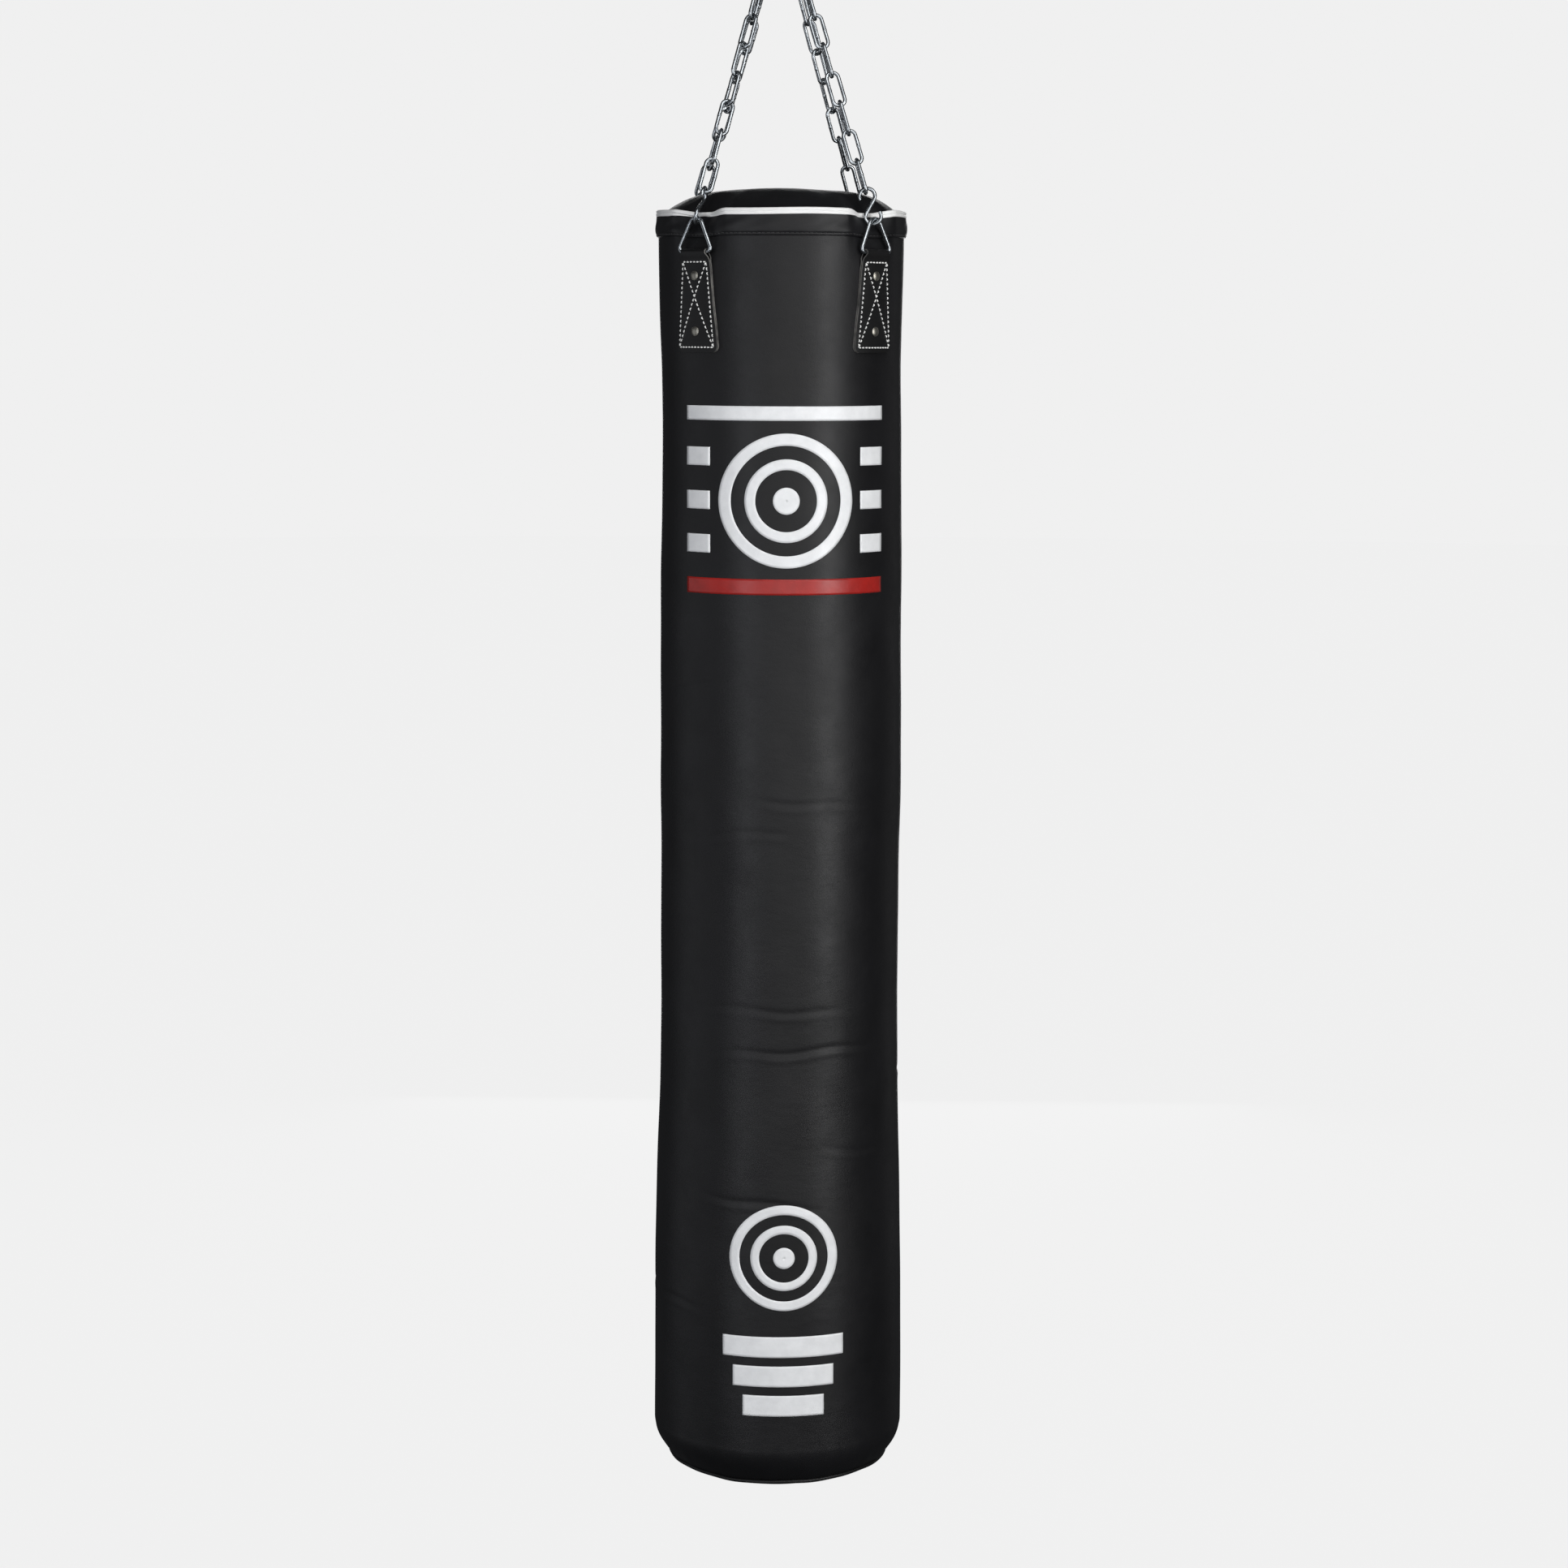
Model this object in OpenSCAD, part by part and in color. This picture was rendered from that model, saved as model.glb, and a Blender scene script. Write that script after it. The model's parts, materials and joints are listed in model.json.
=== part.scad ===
// Hanging heavy bag: a filled cylinder of synthetic leather that hangs on four chains,
// a master ring and a ball-bearing swivel. Sizes are in millimetres. The origin is the
// centre of the hole in the swivel's upper eye, +Z is up, the bag hangs along -Z and
// its printed front faces -Y. Heights in the bag are counted from its rim plane.

/* [Bag] */
// Radius of the wall at the rim
rim_r = 149.3; // [149.3:0.1:151]
// Radius of the wall at its slimmest, under the straps
waist_r = 146.5; // [146:0.5:149]
// Radius of the wall where the filling has settled
belly_r = 154.5; // [150:0.5:158]
// Radius of the bottom seam
seam_r = 141; // [138:0.5:145]
// Height from the bottom seam to the rim
bag_h = 1550; // [1500:1:1700]
// Depth of the bottom panel's bulge below its seam
bottom_sag = 35; // [20:1:45]
// Height of the top cap's crown above the rim
cap_rise = 29.5; // [28:0.5:34]
// Thickness of the synthetic leather
skin_t = 2; // [1.5:0.1:2.2]
// Height of the hem band
hem_h = 28; // [20:1:35]
// Diameter of the rim piping
piping_d = 5.2; // [4:0.1:5.2]
// How far each strap pulls the rim in
dent_in = 16; // [16:0.5:18]
// How far each strap pulls the rim down
dent_down = 4.5; // [3:0.5:6]

/* [Straps] */
// Width of a strap where it leaves its fold
strap_top_w = 50; // [46:1:52]
// Width of a strap at its lower end
strap_bottom_w = 66; // [60:1:70]
// Thickness of a strap's two stitched legs
strap_t = 4; // [3:0.2:4.4]
// Height of a strap below the D-ring's bar
strap_h = 118; // [110:1:130]
// Diameter of the D-ring's wire
d_wire = 4.8; // [4:0.1:5]
// Diameter of a rivet's head
rivet_head_d = 11.2; // [9:0.2:13]

/* [Chains] */
// Number of links in each chain
links = 9; // [8:1:11]
// Inside length of a link, which is the chain's pitch
link_pitch = 37.5; // [34:0.5:40]
// Diameter of the chain's and the S-hooks' wire
link_wire = 4.5; // [4:0.1:4.8]
// Outside width of a link
link_w = 19; // [18:0.5:20]
// Distance of each chain's lower end from the bag's axis
chain_foot_r = 135; // [134:0.5:136]

/* [Swivel] */
// Diameter of the hole in the upper eye
eye_hole_d = 16; // [14:0.5:18]
// Inside radius of the master ring
ring_in_r = 20; // [19:0.5:21]
// Diameter of the master ring's wire
ring_wire = 8; // [7:0.5:8]

/* [Zip] */
// Length of the zip in the top cap
zip_len = 120; // [110:5:125]
// Distance of the zip behind the bag's axis
zip_y = 45; // [40:1:45]
// Spacing of the zip's teeth
tooth_pitch = 3; // [2.5:0.5:5]

/* [Hidden] */
$fn = 48;

// Play between pieces that touch, and between the soft layers
play = 0.3;
// Gap of a sliding fit between machined faces
fit = 0.05;
// Steps of the swept skins round the axis
steps = 96;
// How much a wire swells where it starts or ends a bend
swell = 0.06;

// Azimuths of the four straps, counted from the front towards +X
front_left = -45;
front_right = 45;
back_right = 135;
back_left = 225;
strap_azimuths = [front_left, front_right, back_right, back_left];

// Swivel stack, as heights in the frame
neck_r = 6.5;
neck_bottom = -24;
collar_r = 9.5;
collar_h = 2.5;
collar_bottom = -25.7;
stem_r = 5;
stem_bottom = -46.5;
housing_r = 14;
housing_top = -26;
housing_bottom = -50;
cavity_r = 11.2;
race_r = 10.8;
race_t = 1.55;
ball_r = 2.25;
ball_ring_r = 7.8;
balls = 8;
upper_race_top = -31.05;
ball_z = upper_race_top - race_t - ball_r - fit;
lower_race_top = ball_z - ball_r - fit;
nut_r = 9.2;
nut_h = 6.1;
nut_top = lower_race_top - race_t - fit;
plug_h = 2;
lower_neck_r = 7;
eye_outer_r = eye_hole_d / 2 + 7;
eye_half_t = 5;
eye_chamfer = 1.5;
lower_eye_hole_r = 8;
lower_eye_wire_r = 4.5;

// Master ring and chains
ring_z = -95;
ring_r = ring_in_r + ring_wire / 2;
ring_top_z = ring_z + ring_r;
lower_eye_z = ring_top_z + lower_eye_hole_r - ring_wire / 2 - play;
front_chain_x = 10;
back_chain_x = 4.4;
ring_seat = ring_wire / 2 + play;
foot_dx = chain_foot_r * sin(front_right) - front_chain_x;
foot_dy = chain_foot_r * cos(front_right);
reach = links * link_pitch - ring_seat;
foot_z = ring_point(front_chain_x)[2] - sqrt(reach ^ 2 - foot_dx ^ 2 - foot_dy ^ 2);
foot_above_rim = 25.1;
rim_z = foot_z - foot_above_rim;

// D-rings, relative to the rim plane
bar_z = -48;
bar_r = 152.3;
d_top_z = -8;
d_top_r = 150.2;
d_base_half = 24.6;
d_corner_r = 5;
d_crown_r = 11;

// S-hooks
hook_loop_r = 9.4;
hook_end_angle = 195;
hook_play = 1.3;

// Strap details, relative to the rim plane
strap_top_z = bar_z - 7;
strap_bottom_z = bar_z - strap_h;
strap_corner_r = 8;
fold_half = d_base_half - 8;
throat_out = 0.6;
throat_lap = 3;
rivet_heights = [-75.5, -141];
shank_r = 2;
head_h = 2;
washer_r = 6;
washer_t = 1;
patch_t = 2.5;
patch_top_z = -64;

// Bag profile, relative to the rim plane
hem_t = 1.5;
hem_bulge = 0.8;
hem_gap = 0.45;
hem_cuts = 7;
hem_top = 0.05;
dent_half = 17;
dent_fade = 62;
seam_z = -bag_h;
corner_h = 43;
corner_z = seam_z + corner_h;
cap_edge_r = 143;
cap_power = 4.4;
piping_z = 1.4;
welt_r = 2.6;
strip_w = 26;
strip_t = 1.2;

// Heights at which the wall's section has a point: down the hem, then down to the seam
hem_rows = [for (i = [0 : hem_cuts]) -hem_h * (hem_top + (1 - hem_top) * i / hem_cuts)];
wall_rows = concat(hem_rows, [-40, -52, -dent_fade, -120, -620, -800, -990, -1180, -1360,
    corner_z, corner_z - 0.3 * corner_h, corner_z - 0.6 * corner_h,
    corner_z - 0.8 * corner_h, seam_z + welt_r + 0.1]);

// Inside the wall: foam against it, then the sack of filling, which narrows to a neck
// above the foam and domes under the cap
foam_top_z = -175;
foam_t = 10;
foam_depth = skin_t + play;
sack_t = 1;
core_depth = foam_depth + foam_t + play;
core_base_r = 111;
core_low_z = seam_z + 4;
core_neck_r = 114;
core_shoulder_r = 74;
core_shoulder_z = -6;
core_top_z = cap_rise - 10.5;
core_rows = [for (i = [len(wall_rows) - 1 : -1 : 0])
    if (wall_rows[i] >= corner_z && wall_rows[i] < foam_top_z) wall_rows[i]];

// Zip, relative to the rim plane
tape_z = cap_rise - 7.1;
tape_t = 0.8;
tape_w = 12;
tape_end = 3;
teeth_h = 1.6;
tooth_w = 3;
tooth_lap = 0.6;
slot_w = 13;
slot_end = 4;
slider_l = 12;
slider_w = 9.6;
slider_t = 1.2;
pull_l = 22;
pull_w = 6;
pull_t = 1;
pivot_r = 0.6;
pivot_inset = 2.5;
teeth_z = tape_z + tape_t + fit;
stop_l = 1.8;
stop_w = 6;
slider_x = -zip_len / 2 + slider_l;
slider_top = tape_z + tape_t + teeth_h + play + slider_t;
pivot_z = slider_top + 1.5;

// Prints, relative to the rim plane
print_t = 0.4;
print_half_w = 117;
header_low = -246;
header_high = -229;
upper_target_z = -341;
upper_target_r = 80;
side_bar_in = 90;
side_bar_h = 22;
side_bar_step = 52;
accent_low = -453;
accent_high = -434;
lower_target_z = -1263;
lower_target_r = 66;
lower_bar_top = -1362;
lower_bar_h = 26;
lower_bar_step = 37;
lower_bar_halves = [74, 62, 50];
// Bands of a target, as shares of its radius, and its centre disc
target_bands = [[1, 0.82], [0.62, 0.46]];
target_disc = 0.2;

function ease(t) = let (c = min(max(t, 0), 1)) c * c * (3 - 2 * c);

// Radius of the wall's outer face at a height, away from the straps' dents
function wall_r(z) = z < corner_z
    ? seam_r + (belly_r - seam_r) * (1 - ((corner_z - z) / corner_h) ^ 2)
    : waist_r + (rim_r - waist_r) * ease(1 + z / 120)
        + (belly_r - waist_r) * ease((-z - 620) / 740);

// How strongly the straps' pull acts at a height, and at an azimuth
function pull_z(z) = max(0, 1 + min(z, 0) / dent_fade) ^ 1.5;
function pull_at(a) = ease(1.25 * (1 - abs(a % 90 - 45) / dent_half));

// Height of the cap's outer face, and how far the dents reach into it
function cap_z(r) = cap_rise * (1 - (r / cap_edge_r) ^ cap_power);
function cap_pull(r) = max(0, (r - 98) / (cap_edge_r - 98)) ^ 1.2;

// A point on the centre-line of the master ring's lower half
function ring_point(x) = [x, 0, ring_z - sqrt(ring_r ^ 2 - x ^ 2)];

// A point of the swept skins: a station is [radius, height, pull]
function station(p, a) = let (d = p[2] * pull_at(a), r = p[0] - dent_in * d)
    [r * sin(a), -r * cos(a), rim_z + p[1] - dent_down * d];
function skin_points(profile) =
    [for (s = [0 : steps - 1]) for (p = profile) station(p, s * 360 / steps)];

// Two triangles for each cell between profile point i and its neighbour j
function cell(n, s, i, j) = let (t = (s + 1) % steps)
    [[s * n + i, s * n + j, t * n + j], [s * n + i, t * n + j, t * n + i]];

// A closed ring of skin whose section is the closed outline profile
module swept_ring(profile) {
    n = len(profile);
    polyhedron(points = skin_points(profile),
        faces = [for (s = [0 : steps - 1], i = [0 : n - 1]) each cell(n, s, i, (i + 1) % n)]);
}

// A closed solid round the axis, from a level first ring to a level last ring
module swept_solid(profile) {
    n = len(profile);
    polyhedron(points = skin_points(profile),
        faces = concat(
            [for (s = [0 : steps - 1], i = [0 : n - 2]) each cell(n, s, i, i + 1)],
            [[for (s = [0 : steps - 1]) s * n]],
            [[for (s = [steps - 1 : -1 : 0]) s * n + n - 1]]));
}

function unit(v) = v / norm(v);

// Places children with their Z axis along u and their X axis towards hint, turned by roll
module placed(p, u, hint, roll = 0) {
    x0 = unit(hint - (hint * u) * u);
    y0 = cross(u, x0);
    x = cos(roll) * x0 + sin(roll) * y0;
    y = cross(u, x);
    multmatrix([
        [x[0], y[0], u[0], p[0]],
        [x[1], y[1], u[1], p[1]],
        [x[2], y[2], u[2], p[2]],
        [0, 0, 0, 1]]) children();
}

// Turns a piece that is made at the front to its azimuth
module at_azimuth(a) { rotate([0, 0, a]) children(); }

// A stretch of round wire between two points of the XZ plane
module wire_straight(a, b, d) {
    length = norm(b - a);
    turn = atan2(b[0] - a[0], b[1] - a[1]);
    translate([a[0], 0, a[1]]) rotate([0, turn, 0]) cylinder(d = d, h = length);
}

// A slight swell where a straight and an arc of wire meet
module wire_joint(p, d) { translate([p[0], 0, p[1]]) sphere(d = d + 2 * swell); }

// An arc of round wire in the XZ plane, from start angle through sweep
module wire_arc(c, r, start, sweep, d) {
    translate([c[0], 0, c[1]]) rotate([90, -start, 0])
        rotate_extrude(angle = sweep) translate([r, 0]) circle(d = d);
}

// A sector of a layer that lies on the wall, from inner to outer millimetres off it
module wall_layer(z_low, z_high, inner, outer, half_angle, cuts = 8) {
    heights = [for (i = [0 : cuts]) z_low + (z_high - z_low) * i / cuts];
    rows = [for (i = [0 : cuts]) heights[cuts - i]];
    translate([0, 0, rim_z]) rotate([0, 0, -90 - half_angle])
        rotate_extrude(angle = 2 * half_angle)
            polygon(concat(
                [for (z = heights) [wall_r(z) + outer, z]],
                [for (z = rows) [wall_r(z) + inner, z]]));
}

// Extrudes an outline, drawn as it is seen from the front, through the front wall
module towards_front() {
    translate([0, 0, rim_z]) rotate([90, 0, 0]) linear_extrude(height = 200) children();
}

// ---- Swivel -------------------------------------------------------------------

module swivel_upper_eye() {
    hole_r = eye_hole_d / 2;
    flat = eye_half_t - eye_chamfer;
    color([0.62, 0.64, 0.66]) {
        rotate([90, 0, 0]) rotate_extrude() polygon([
            [hole_r, -flat], [hole_r + eye_chamfer, -eye_half_t],
            [eye_outer_r - eye_chamfer, -eye_half_t], [eye_outer_r, -flat],
            [eye_outer_r, flat], [eye_outer_r - eye_chamfer, eye_half_t],
            [hole_r + eye_chamfer, eye_half_t], [hole_r, flat]]);
        translate([0, 0, neck_bottom]) cylinder(r = neck_r, h = -neck_bottom - hole_r - 3);
        translate([0, 0, collar_bottom]) cylinder(r = collar_r, h = collar_h);
        translate([0, 0, stem_bottom]) cylinder(r = stem_r, h = collar_bottom + 1 - stem_bottom);
    }
}

module race(top) {
    translate([0, 0, top - race_t]) difference() {
        cylinder(r = race_r, h = race_t);
        translate([0, 0, -1]) cylinder(r = stem_r + play, h = race_t + 2);
    }
}

module bearing_upper_race() { color([0.75, 0.76, 0.78]) race(upper_race_top); }

module bearing_lower_race() { color([0.75, 0.76, 0.78]) race(lower_race_top); }

module bearing_balls() {
    color([0.82, 0.83, 0.85]) for (i = [0 : balls - 1])
        rotate([0, 0, i * 360 / balls]) translate([ball_ring_r, 0, ball_z]) sphere(r = ball_r);
}

module swivel_nut() {
    color([0.6, 0.6, 0.58]) translate([0, 0, nut_top - nut_h]) difference() {
        cylinder(r = nut_r, h = nut_h, $fn = 6);
        translate([0, 0, -1]) cylinder(r = stem_r + fit, h = nut_h + 2);
    }
}

module swivel_housing() {
    ceiling_z = upper_race_top + fit;
    color([0.62, 0.64, 0.66]) difference() {
        rotate_extrude() polygon([
            [0, housing_bottom], [housing_r, housing_bottom],
            [housing_r, housing_top - 2], [housing_r - 2, housing_top], [0, housing_top]]);
        translate([0, 0, housing_bottom - 1])
            cylinder(r = cavity_r, h = ceiling_z - housing_bottom + 1);
        translate([0, 0, housing_bottom]) cylinder(r = stem_r + fit, h = housing_top - housing_bottom + 1);
    }
}

module swivel_lower_eye() {
    plug_z = housing_bottom - plug_h - fit;
    neck_z = lower_eye_z + lower_eye_hole_r + 2;
    color([0.62, 0.64, 0.66]) {
        translate([0, 0, plug_z]) cylinder(r = housing_r, h = plug_h);
        translate([0, 0, plug_z + 1]) cylinder(r = cavity_r - 2 * fit, h = plug_h + 1);
        translate([0, 0, neck_z]) cylinder(r = lower_neck_r, h = plug_z + 1 - neck_z);
        translate([0, 0, lower_eye_z]) rotate([0, 90, 0]) rotate_extrude()
            translate([lower_eye_hole_r + lower_eye_wire_r, 0]) circle(r = lower_eye_wire_r);
    }
}

module master_ring() {
    color([0.55, 0.58, 0.6]) translate([0, 0, ring_z]) rotate([90, 0, 0])
        rotate_extrude() translate([ring_r, 0]) circle(d = ring_wire);
}

// ---- Chains, S-hooks and D-rings ----------------------------------------------

module chain_link() {
    bow_r = (link_w - link_wire) / 2;
    bow_z = (link_pitch + play) / 2 + link_wire / 2 - bow_r;
    for (side = [-1, 1]) wire_straight([side * bow_r, -bow_z], [side * bow_r, bow_z], link_wire);
    wire_arc([0, bow_z], bow_r, 0, 180, link_wire);
    wire_arc([0, -bow_z], bow_r, 180, 180, link_wire);
}

function foot(a) = [chain_foot_r * sin(a), -chain_foot_r * cos(a), foot_z];

// A taut chain from the S-hook at an azimuth up to the master ring. The roll of each
// link is the first link's roll plus a quarter turn and the chain's twist for each step.
module chain(a, top_x, first_roll, twist) {
    low = foot(a);
    rise = ring_point(top_x) - low;
    u = unit(rise);
    step = (norm(rise) + ring_seat) / links;
    color([0.55, 0.58, 0.6]) for (k = [0 : links - 1])
        placed(low + (k + 0.5) * step * u, u, [1, 0, 0], first_roll + k * (90 + twist))
            chain_link();
}

// The chains other than the straight front right one turn a further quarter over their length
quarter_twist = 90 / (links - 1);

module chain_front_left() { chain(front_left, -front_chain_x, 0, quarter_twist); }
module chain_front_right() { chain(front_right, front_chain_x, 90, 0); }
module chain_back_left() { chain(back_left, -back_chain_x, 0, quarter_twist); }
module chain_back_right() { chain(back_right, back_chain_x, 0, quarter_twist); }

// An S of wire whose loops hold the D-ring below and the chain above. Its plane stands
// upright and holds the direction that facing gives, counted from +X towards +Y.
module s_hook(a, facing) {
    out = [sin(a), -cos(a), 0];
    low = d_top_r * out + [0, 0, rim_z + d_top_z - d_wire / 2 - hook_play];
    high = foot(a) + [0, 0, play];
    u = unit(high - low);
    centre_half = (norm(high - low) + link_wire) / 2;
    c = centre_half - hook_loop_r;
    lean = acos(hook_loop_r / c);
    joint = [hook_loop_r * sin(lean), c - hook_loop_r * cos(lean)];
    color([0.62, 0.63, 0.64]) placed((low + high) / 2, u, [cos(facing), sin(facing), 0]) {
        wire_arc([0, c], hook_loop_r, lean - 90, hook_end_angle + 90 - lean, link_wire);
        wire_arc([0, -c], hook_loop_r, lean + 90, hook_end_angle + 90 - lean, link_wire);
        wire_straight(-joint, joint, link_wire);
        for (side = [-1, 1]) wire_joint(side * joint, link_wire);
    }
}

module s_hook_front_left() { s_hook(front_left, 75); }
module s_hook_front_right() { s_hook(front_right, -15); }
module s_hook_back_left() { s_hook(back_left, 105); }
module s_hook_back_right() { s_hook(back_right, 75); }

// A rounded triangle of wire with a straight bar at its base
module d_ring(a) {
    height = norm([d_top_z - bar_z, d_top_r - bar_r]);
    crown = [0, height - d_crown_r];
    corner = [d_base_half - d_corner_r, d_corner_r];
    rise = crown - corner;
    toward = atan2(rise[1], rise[0]);
    normal = toward - acos((d_corner_r - d_crown_r) / norm(rise));
    out = [cos(normal), sin(normal)];
    leg_low = corner + d_corner_r * out;
    leg_high = crown + d_crown_r * out;
    color([0.62, 0.63, 0.64]) at_azimuth(a)
        placed([0, -bar_r, rim_z + bar_z],
            unit([0, bar_r - d_top_r, d_top_z - bar_z]), [1, 0, 0]) {
        wire_straight([-corner[0], 0], [corner[0], 0], d_wire);
        wire_arc(crown, d_crown_r, normal, 180 - 2 * normal, d_wire);
        for (side = [0, 1]) mirror([side, 0, 0]) {
            wire_arc(corner, d_corner_r, -90, normal + 90, d_wire);
            wire_straight(leg_low, leg_high, d_wire);
            for (p = [[corner[0], 0], leg_low, leg_high]) wire_joint(p, d_wire);
        }
    }
}

module d_ring_front_left() { d_ring(front_left); }
module d_ring_front_right() { d_ring(front_right); }
module d_ring_back_left() { d_ring(back_left); }
module d_ring_back_right() { d_ring(back_right); }

// ---- Straps, rivets and patches -----------------------------------------------

// A strap seen from outside: it widens downwards, and its lower corners are round
module strap_outline() {
    top = strap_top_w / 2;
    low = strap_bottom_w / 2;
    arc = [for (i = [0 : 6]) [low - strap_corner_r + strap_corner_r * cos(15 * i),
        strap_bottom_z + strap_corner_r - strap_corner_r * sin(15 * i)]];
    mirrored = [for (i = [6 : -1 : 0]) [-arc[i][0], arc[i][1]]];
    polygon(concat([[-top, strap_top_z], [top, strap_top_z]], arc, mirrored));
}

module strap(a) {
    fold_r = d_wire / 2 + play + strap_t / 2;
    color([0.09, 0.09, 0.1]) at_azimuth(a) difference() {
        union() {
            intersection() {
                wall_layer(strap_bottom_z - 5, strap_top_z + 5, play, play + strap_t, 18);
                towards_front() strap_outline();
            }
            translate([-fold_half, -bar_r, rim_z + bar_z]) rotate([0, 90, 0])
                cylinder(r = fold_r, h = 2 * fold_half);
            translate([-fold_half, -bar_r - throat_out, rim_z + strap_top_z - throat_lap])
                cube([2 * fold_half, strap_t, bar_z - strap_top_z + throat_lap - 1]);
        }
        translate([-d_base_half, -bar_r, rim_z + bar_z]) rotate([0, 90, 0])
            cylinder(r = d_wire / 2 + 0.1, h = 2 * d_base_half);
    }
}

module strap_front_left() { strap(front_left); }
module strap_front_right() { strap(front_right); }
module strap_back_left() { strap(back_left); }
module strap_back_right() { strap(back_right); }

// Places children at each rivet, with +Z outwards and the wall's outer face at z = 0
module at_rivets() {
    for (a = strap_azimuths, z = rivet_heights) at_azimuth(a)
        translate([0, -wall_r(z), rim_z + z]) rotate([90, 0, 0]) children();
}

// Each rivet has a low domed head outside and a shank that reaches the washer
module strap_rivets() {
    shank_in = skin_t + patch_t + 2 * play + washer_t;
    face = play + strap_t + 0.1;
    color([0.7, 0.69, 0.66]) at_rivets() rotate_extrude() polygon([
        [0, -shank_in], [shank_r, -shank_in], [shank_r, face], [rivet_head_d / 2, face],
        [rivet_head_d / 2 - 0.6, face + 0.9], [rivet_head_d / 4, face + head_h - 0.2],
        [0, face + head_h]]);
}

module rivet_washers() {
    color([0.7, 0.69, 0.66]) at_rivets()
        translate([0, 0, -skin_t - patch_t - 2 * play - washer_t]) difference() {
            cylinder(r = washer_r, h = washer_t);
            translate([0, 0, -1]) cylinder(r = shank_r + 0.05, h = washer_t + 2);
        }
}

// A square patch inside the wall that spreads a strap's load
module patch(a) {
    outer = -skin_t - play;
    color([0.16, 0.16, 0.17]) at_azimuth(a)
        wall_layer(strap_bottom_z - 2, patch_top_z, outer - patch_t, outer, 15);
}

module patch_front_left() { patch(front_left); }
module patch_front_right() { patch(front_right); }
module patch_back_left() { patch(back_left); }
module patch_back_right() { patch(back_right); }

// ---- Bag ----------------------------------------------------------------------

module wall_skin() {
    n = len(wall_rows);
    color([0.1, 0.1, 0.11]) swept_ring(concat(
        [for (z = wall_rows) [wall_r(z), z, pull_z(z)]],
        [for (i = [n - 1 : -1 : 0]) let (z = wall_rows[i]) [wall_r(z) - skin_t, z, pull_z(z)]]));
}

// The band of skin that is turned over the rim and stitched down
module top_hem_band() {
    color([0.1, 0.1, 0.11]) swept_ring(concat(
        [for (i = [0 : hem_cuts]) let (z = hem_rows[i])
            [wall_r(z) + play + hem_t + hem_bulge * sin(180 * i / hem_cuts), z, pull_z(z)]],
        [for (i = [hem_cuts : -1 : 0]) let (z = hem_rows[i])
            [wall_r(z) + hem_gap, z, pull_z(z)]]));
}

module rim_piping() {
    r = piping_d / 2;
    color([0.93, 0.93, 0.92]) swept_ring([for (i = [0 : 7])
        [rim_r + play + r * cos(45 * i), piping_z - r * sin(45 * i), 1]]);
}

cap_radii = [50, 78, 98, 112, 122, 130, 136, 140.5];

// The domed closure of the top, with its edge stitched in behind the piping
module top_cap() {
    n = len(cap_radii);
    flange_r = rim_r - piping_d / 2 - 0.3;
    color([0.1, 0.1, 0.11]) difference() {
        swept_solid(concat(
            [for (r = cap_radii) [r, cap_z(r), cap_pull(r)]],
            [[flange_r, 0.5, 1], [flange_r, -1.2, 1]],
            [for (i = [n - 1 : -1 : 0]) let (r = cap_radii[i] - 1.6)
                [r, cap_z(cap_radii[i]) - skin_t, cap_pull(cap_radii[i])]]));
        translate([-zip_len / 2 - slot_end, zip_y - slot_w / 2, rim_z + cap_rise / 2])
            cube([zip_len + 2 * slot_end, slot_w, cap_rise]);
    }
}

module back_seam_strip() {
    half = strip_w / 2 / belly_r * 180 / PI;
    color([0.1, 0.1, 0.11]) at_azimuth(180)
        wall_layer(corner_z, -hem_h - 4, play, play + strip_t, half, 14);
}

function panel_z(r) = seam_z - bottom_sag * (1 - (r / seam_r) ^ 2);

module bottom_panel() {
    radii = [for (i = [0 : 8]) (seam_r - welt_r - 0.1) * i / 8];
    color([0.1, 0.1, 0.11]) translate([0, 0, rim_z]) rotate_extrude() polygon(concat(
        [for (r = radii) [r, panel_z(r)]],
        [for (i = [8 : -1 : 0]) [radii[i], panel_z(radii[i]) + skin_t]]));
}

module bottom_welt() {
    color([0.08, 0.08, 0.09]) translate([0, 0, rim_z + seam_z])
        rotate_extrude() translate([seam_r, 0]) circle(r = welt_r);
}

module foam_lining() {
    rows = concat(core_rows, [foam_top_z]);
    last = len(rows) - 1;
    color([0.45, 0.45, 0.47]) translate([0, 0, rim_z]) rotate_extrude() polygon(concat(
        [for (z = rows) [wall_r(z) - foam_depth, z]],
        [for (i = [last : -1 : 0]) [wall_r(rows[i]) - foam_depth - foam_t, rows[i]]]));
}

// Half of the sack's section, its wall moved in by inset
function core_outline(inset) = concat(
    [[0, core_low_z + inset], [core_base_r - inset, core_low_z + inset]],
    [for (z = concat(core_rows, [foam_top_z])) [wall_r(z) - core_depth - inset, z]],
    [for (t = [0 : 15 : 90]) [
        core_shoulder_r - inset + (core_neck_r - core_shoulder_r) * cos(t),
        core_shoulder_z + (core_top_z - core_shoulder_z - inset) * sin(t)]],
    [[0, core_top_z - inset]]);

module inner_sack() {
    color([0.8, 0.78, 0.72]) translate([0, 0, rim_z]) difference() {
        rotate_extrude() polygon(core_outline(0));
        rotate_extrude() polygon(core_outline(sack_t));
    }
}

module textile_filling() {
    color([0.55, 0.52, 0.5]) translate([0, 0, rim_z])
        rotate_extrude() polygon(core_outline(sack_t + play));
}

// ---- Zip ----------------------------------------------------------------------

module zip_tape(side) {
    y = side > 0 ? zip_y + tooth_w / 2 : zip_y - tooth_w / 2 - tape_w;
    color([0.07, 0.07, 0.08]) translate([-zip_len / 2 - tape_end, y, rim_z + tape_z])
        cube([zip_len + 2 * tape_end, tape_w, tape_t]);
}

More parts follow.
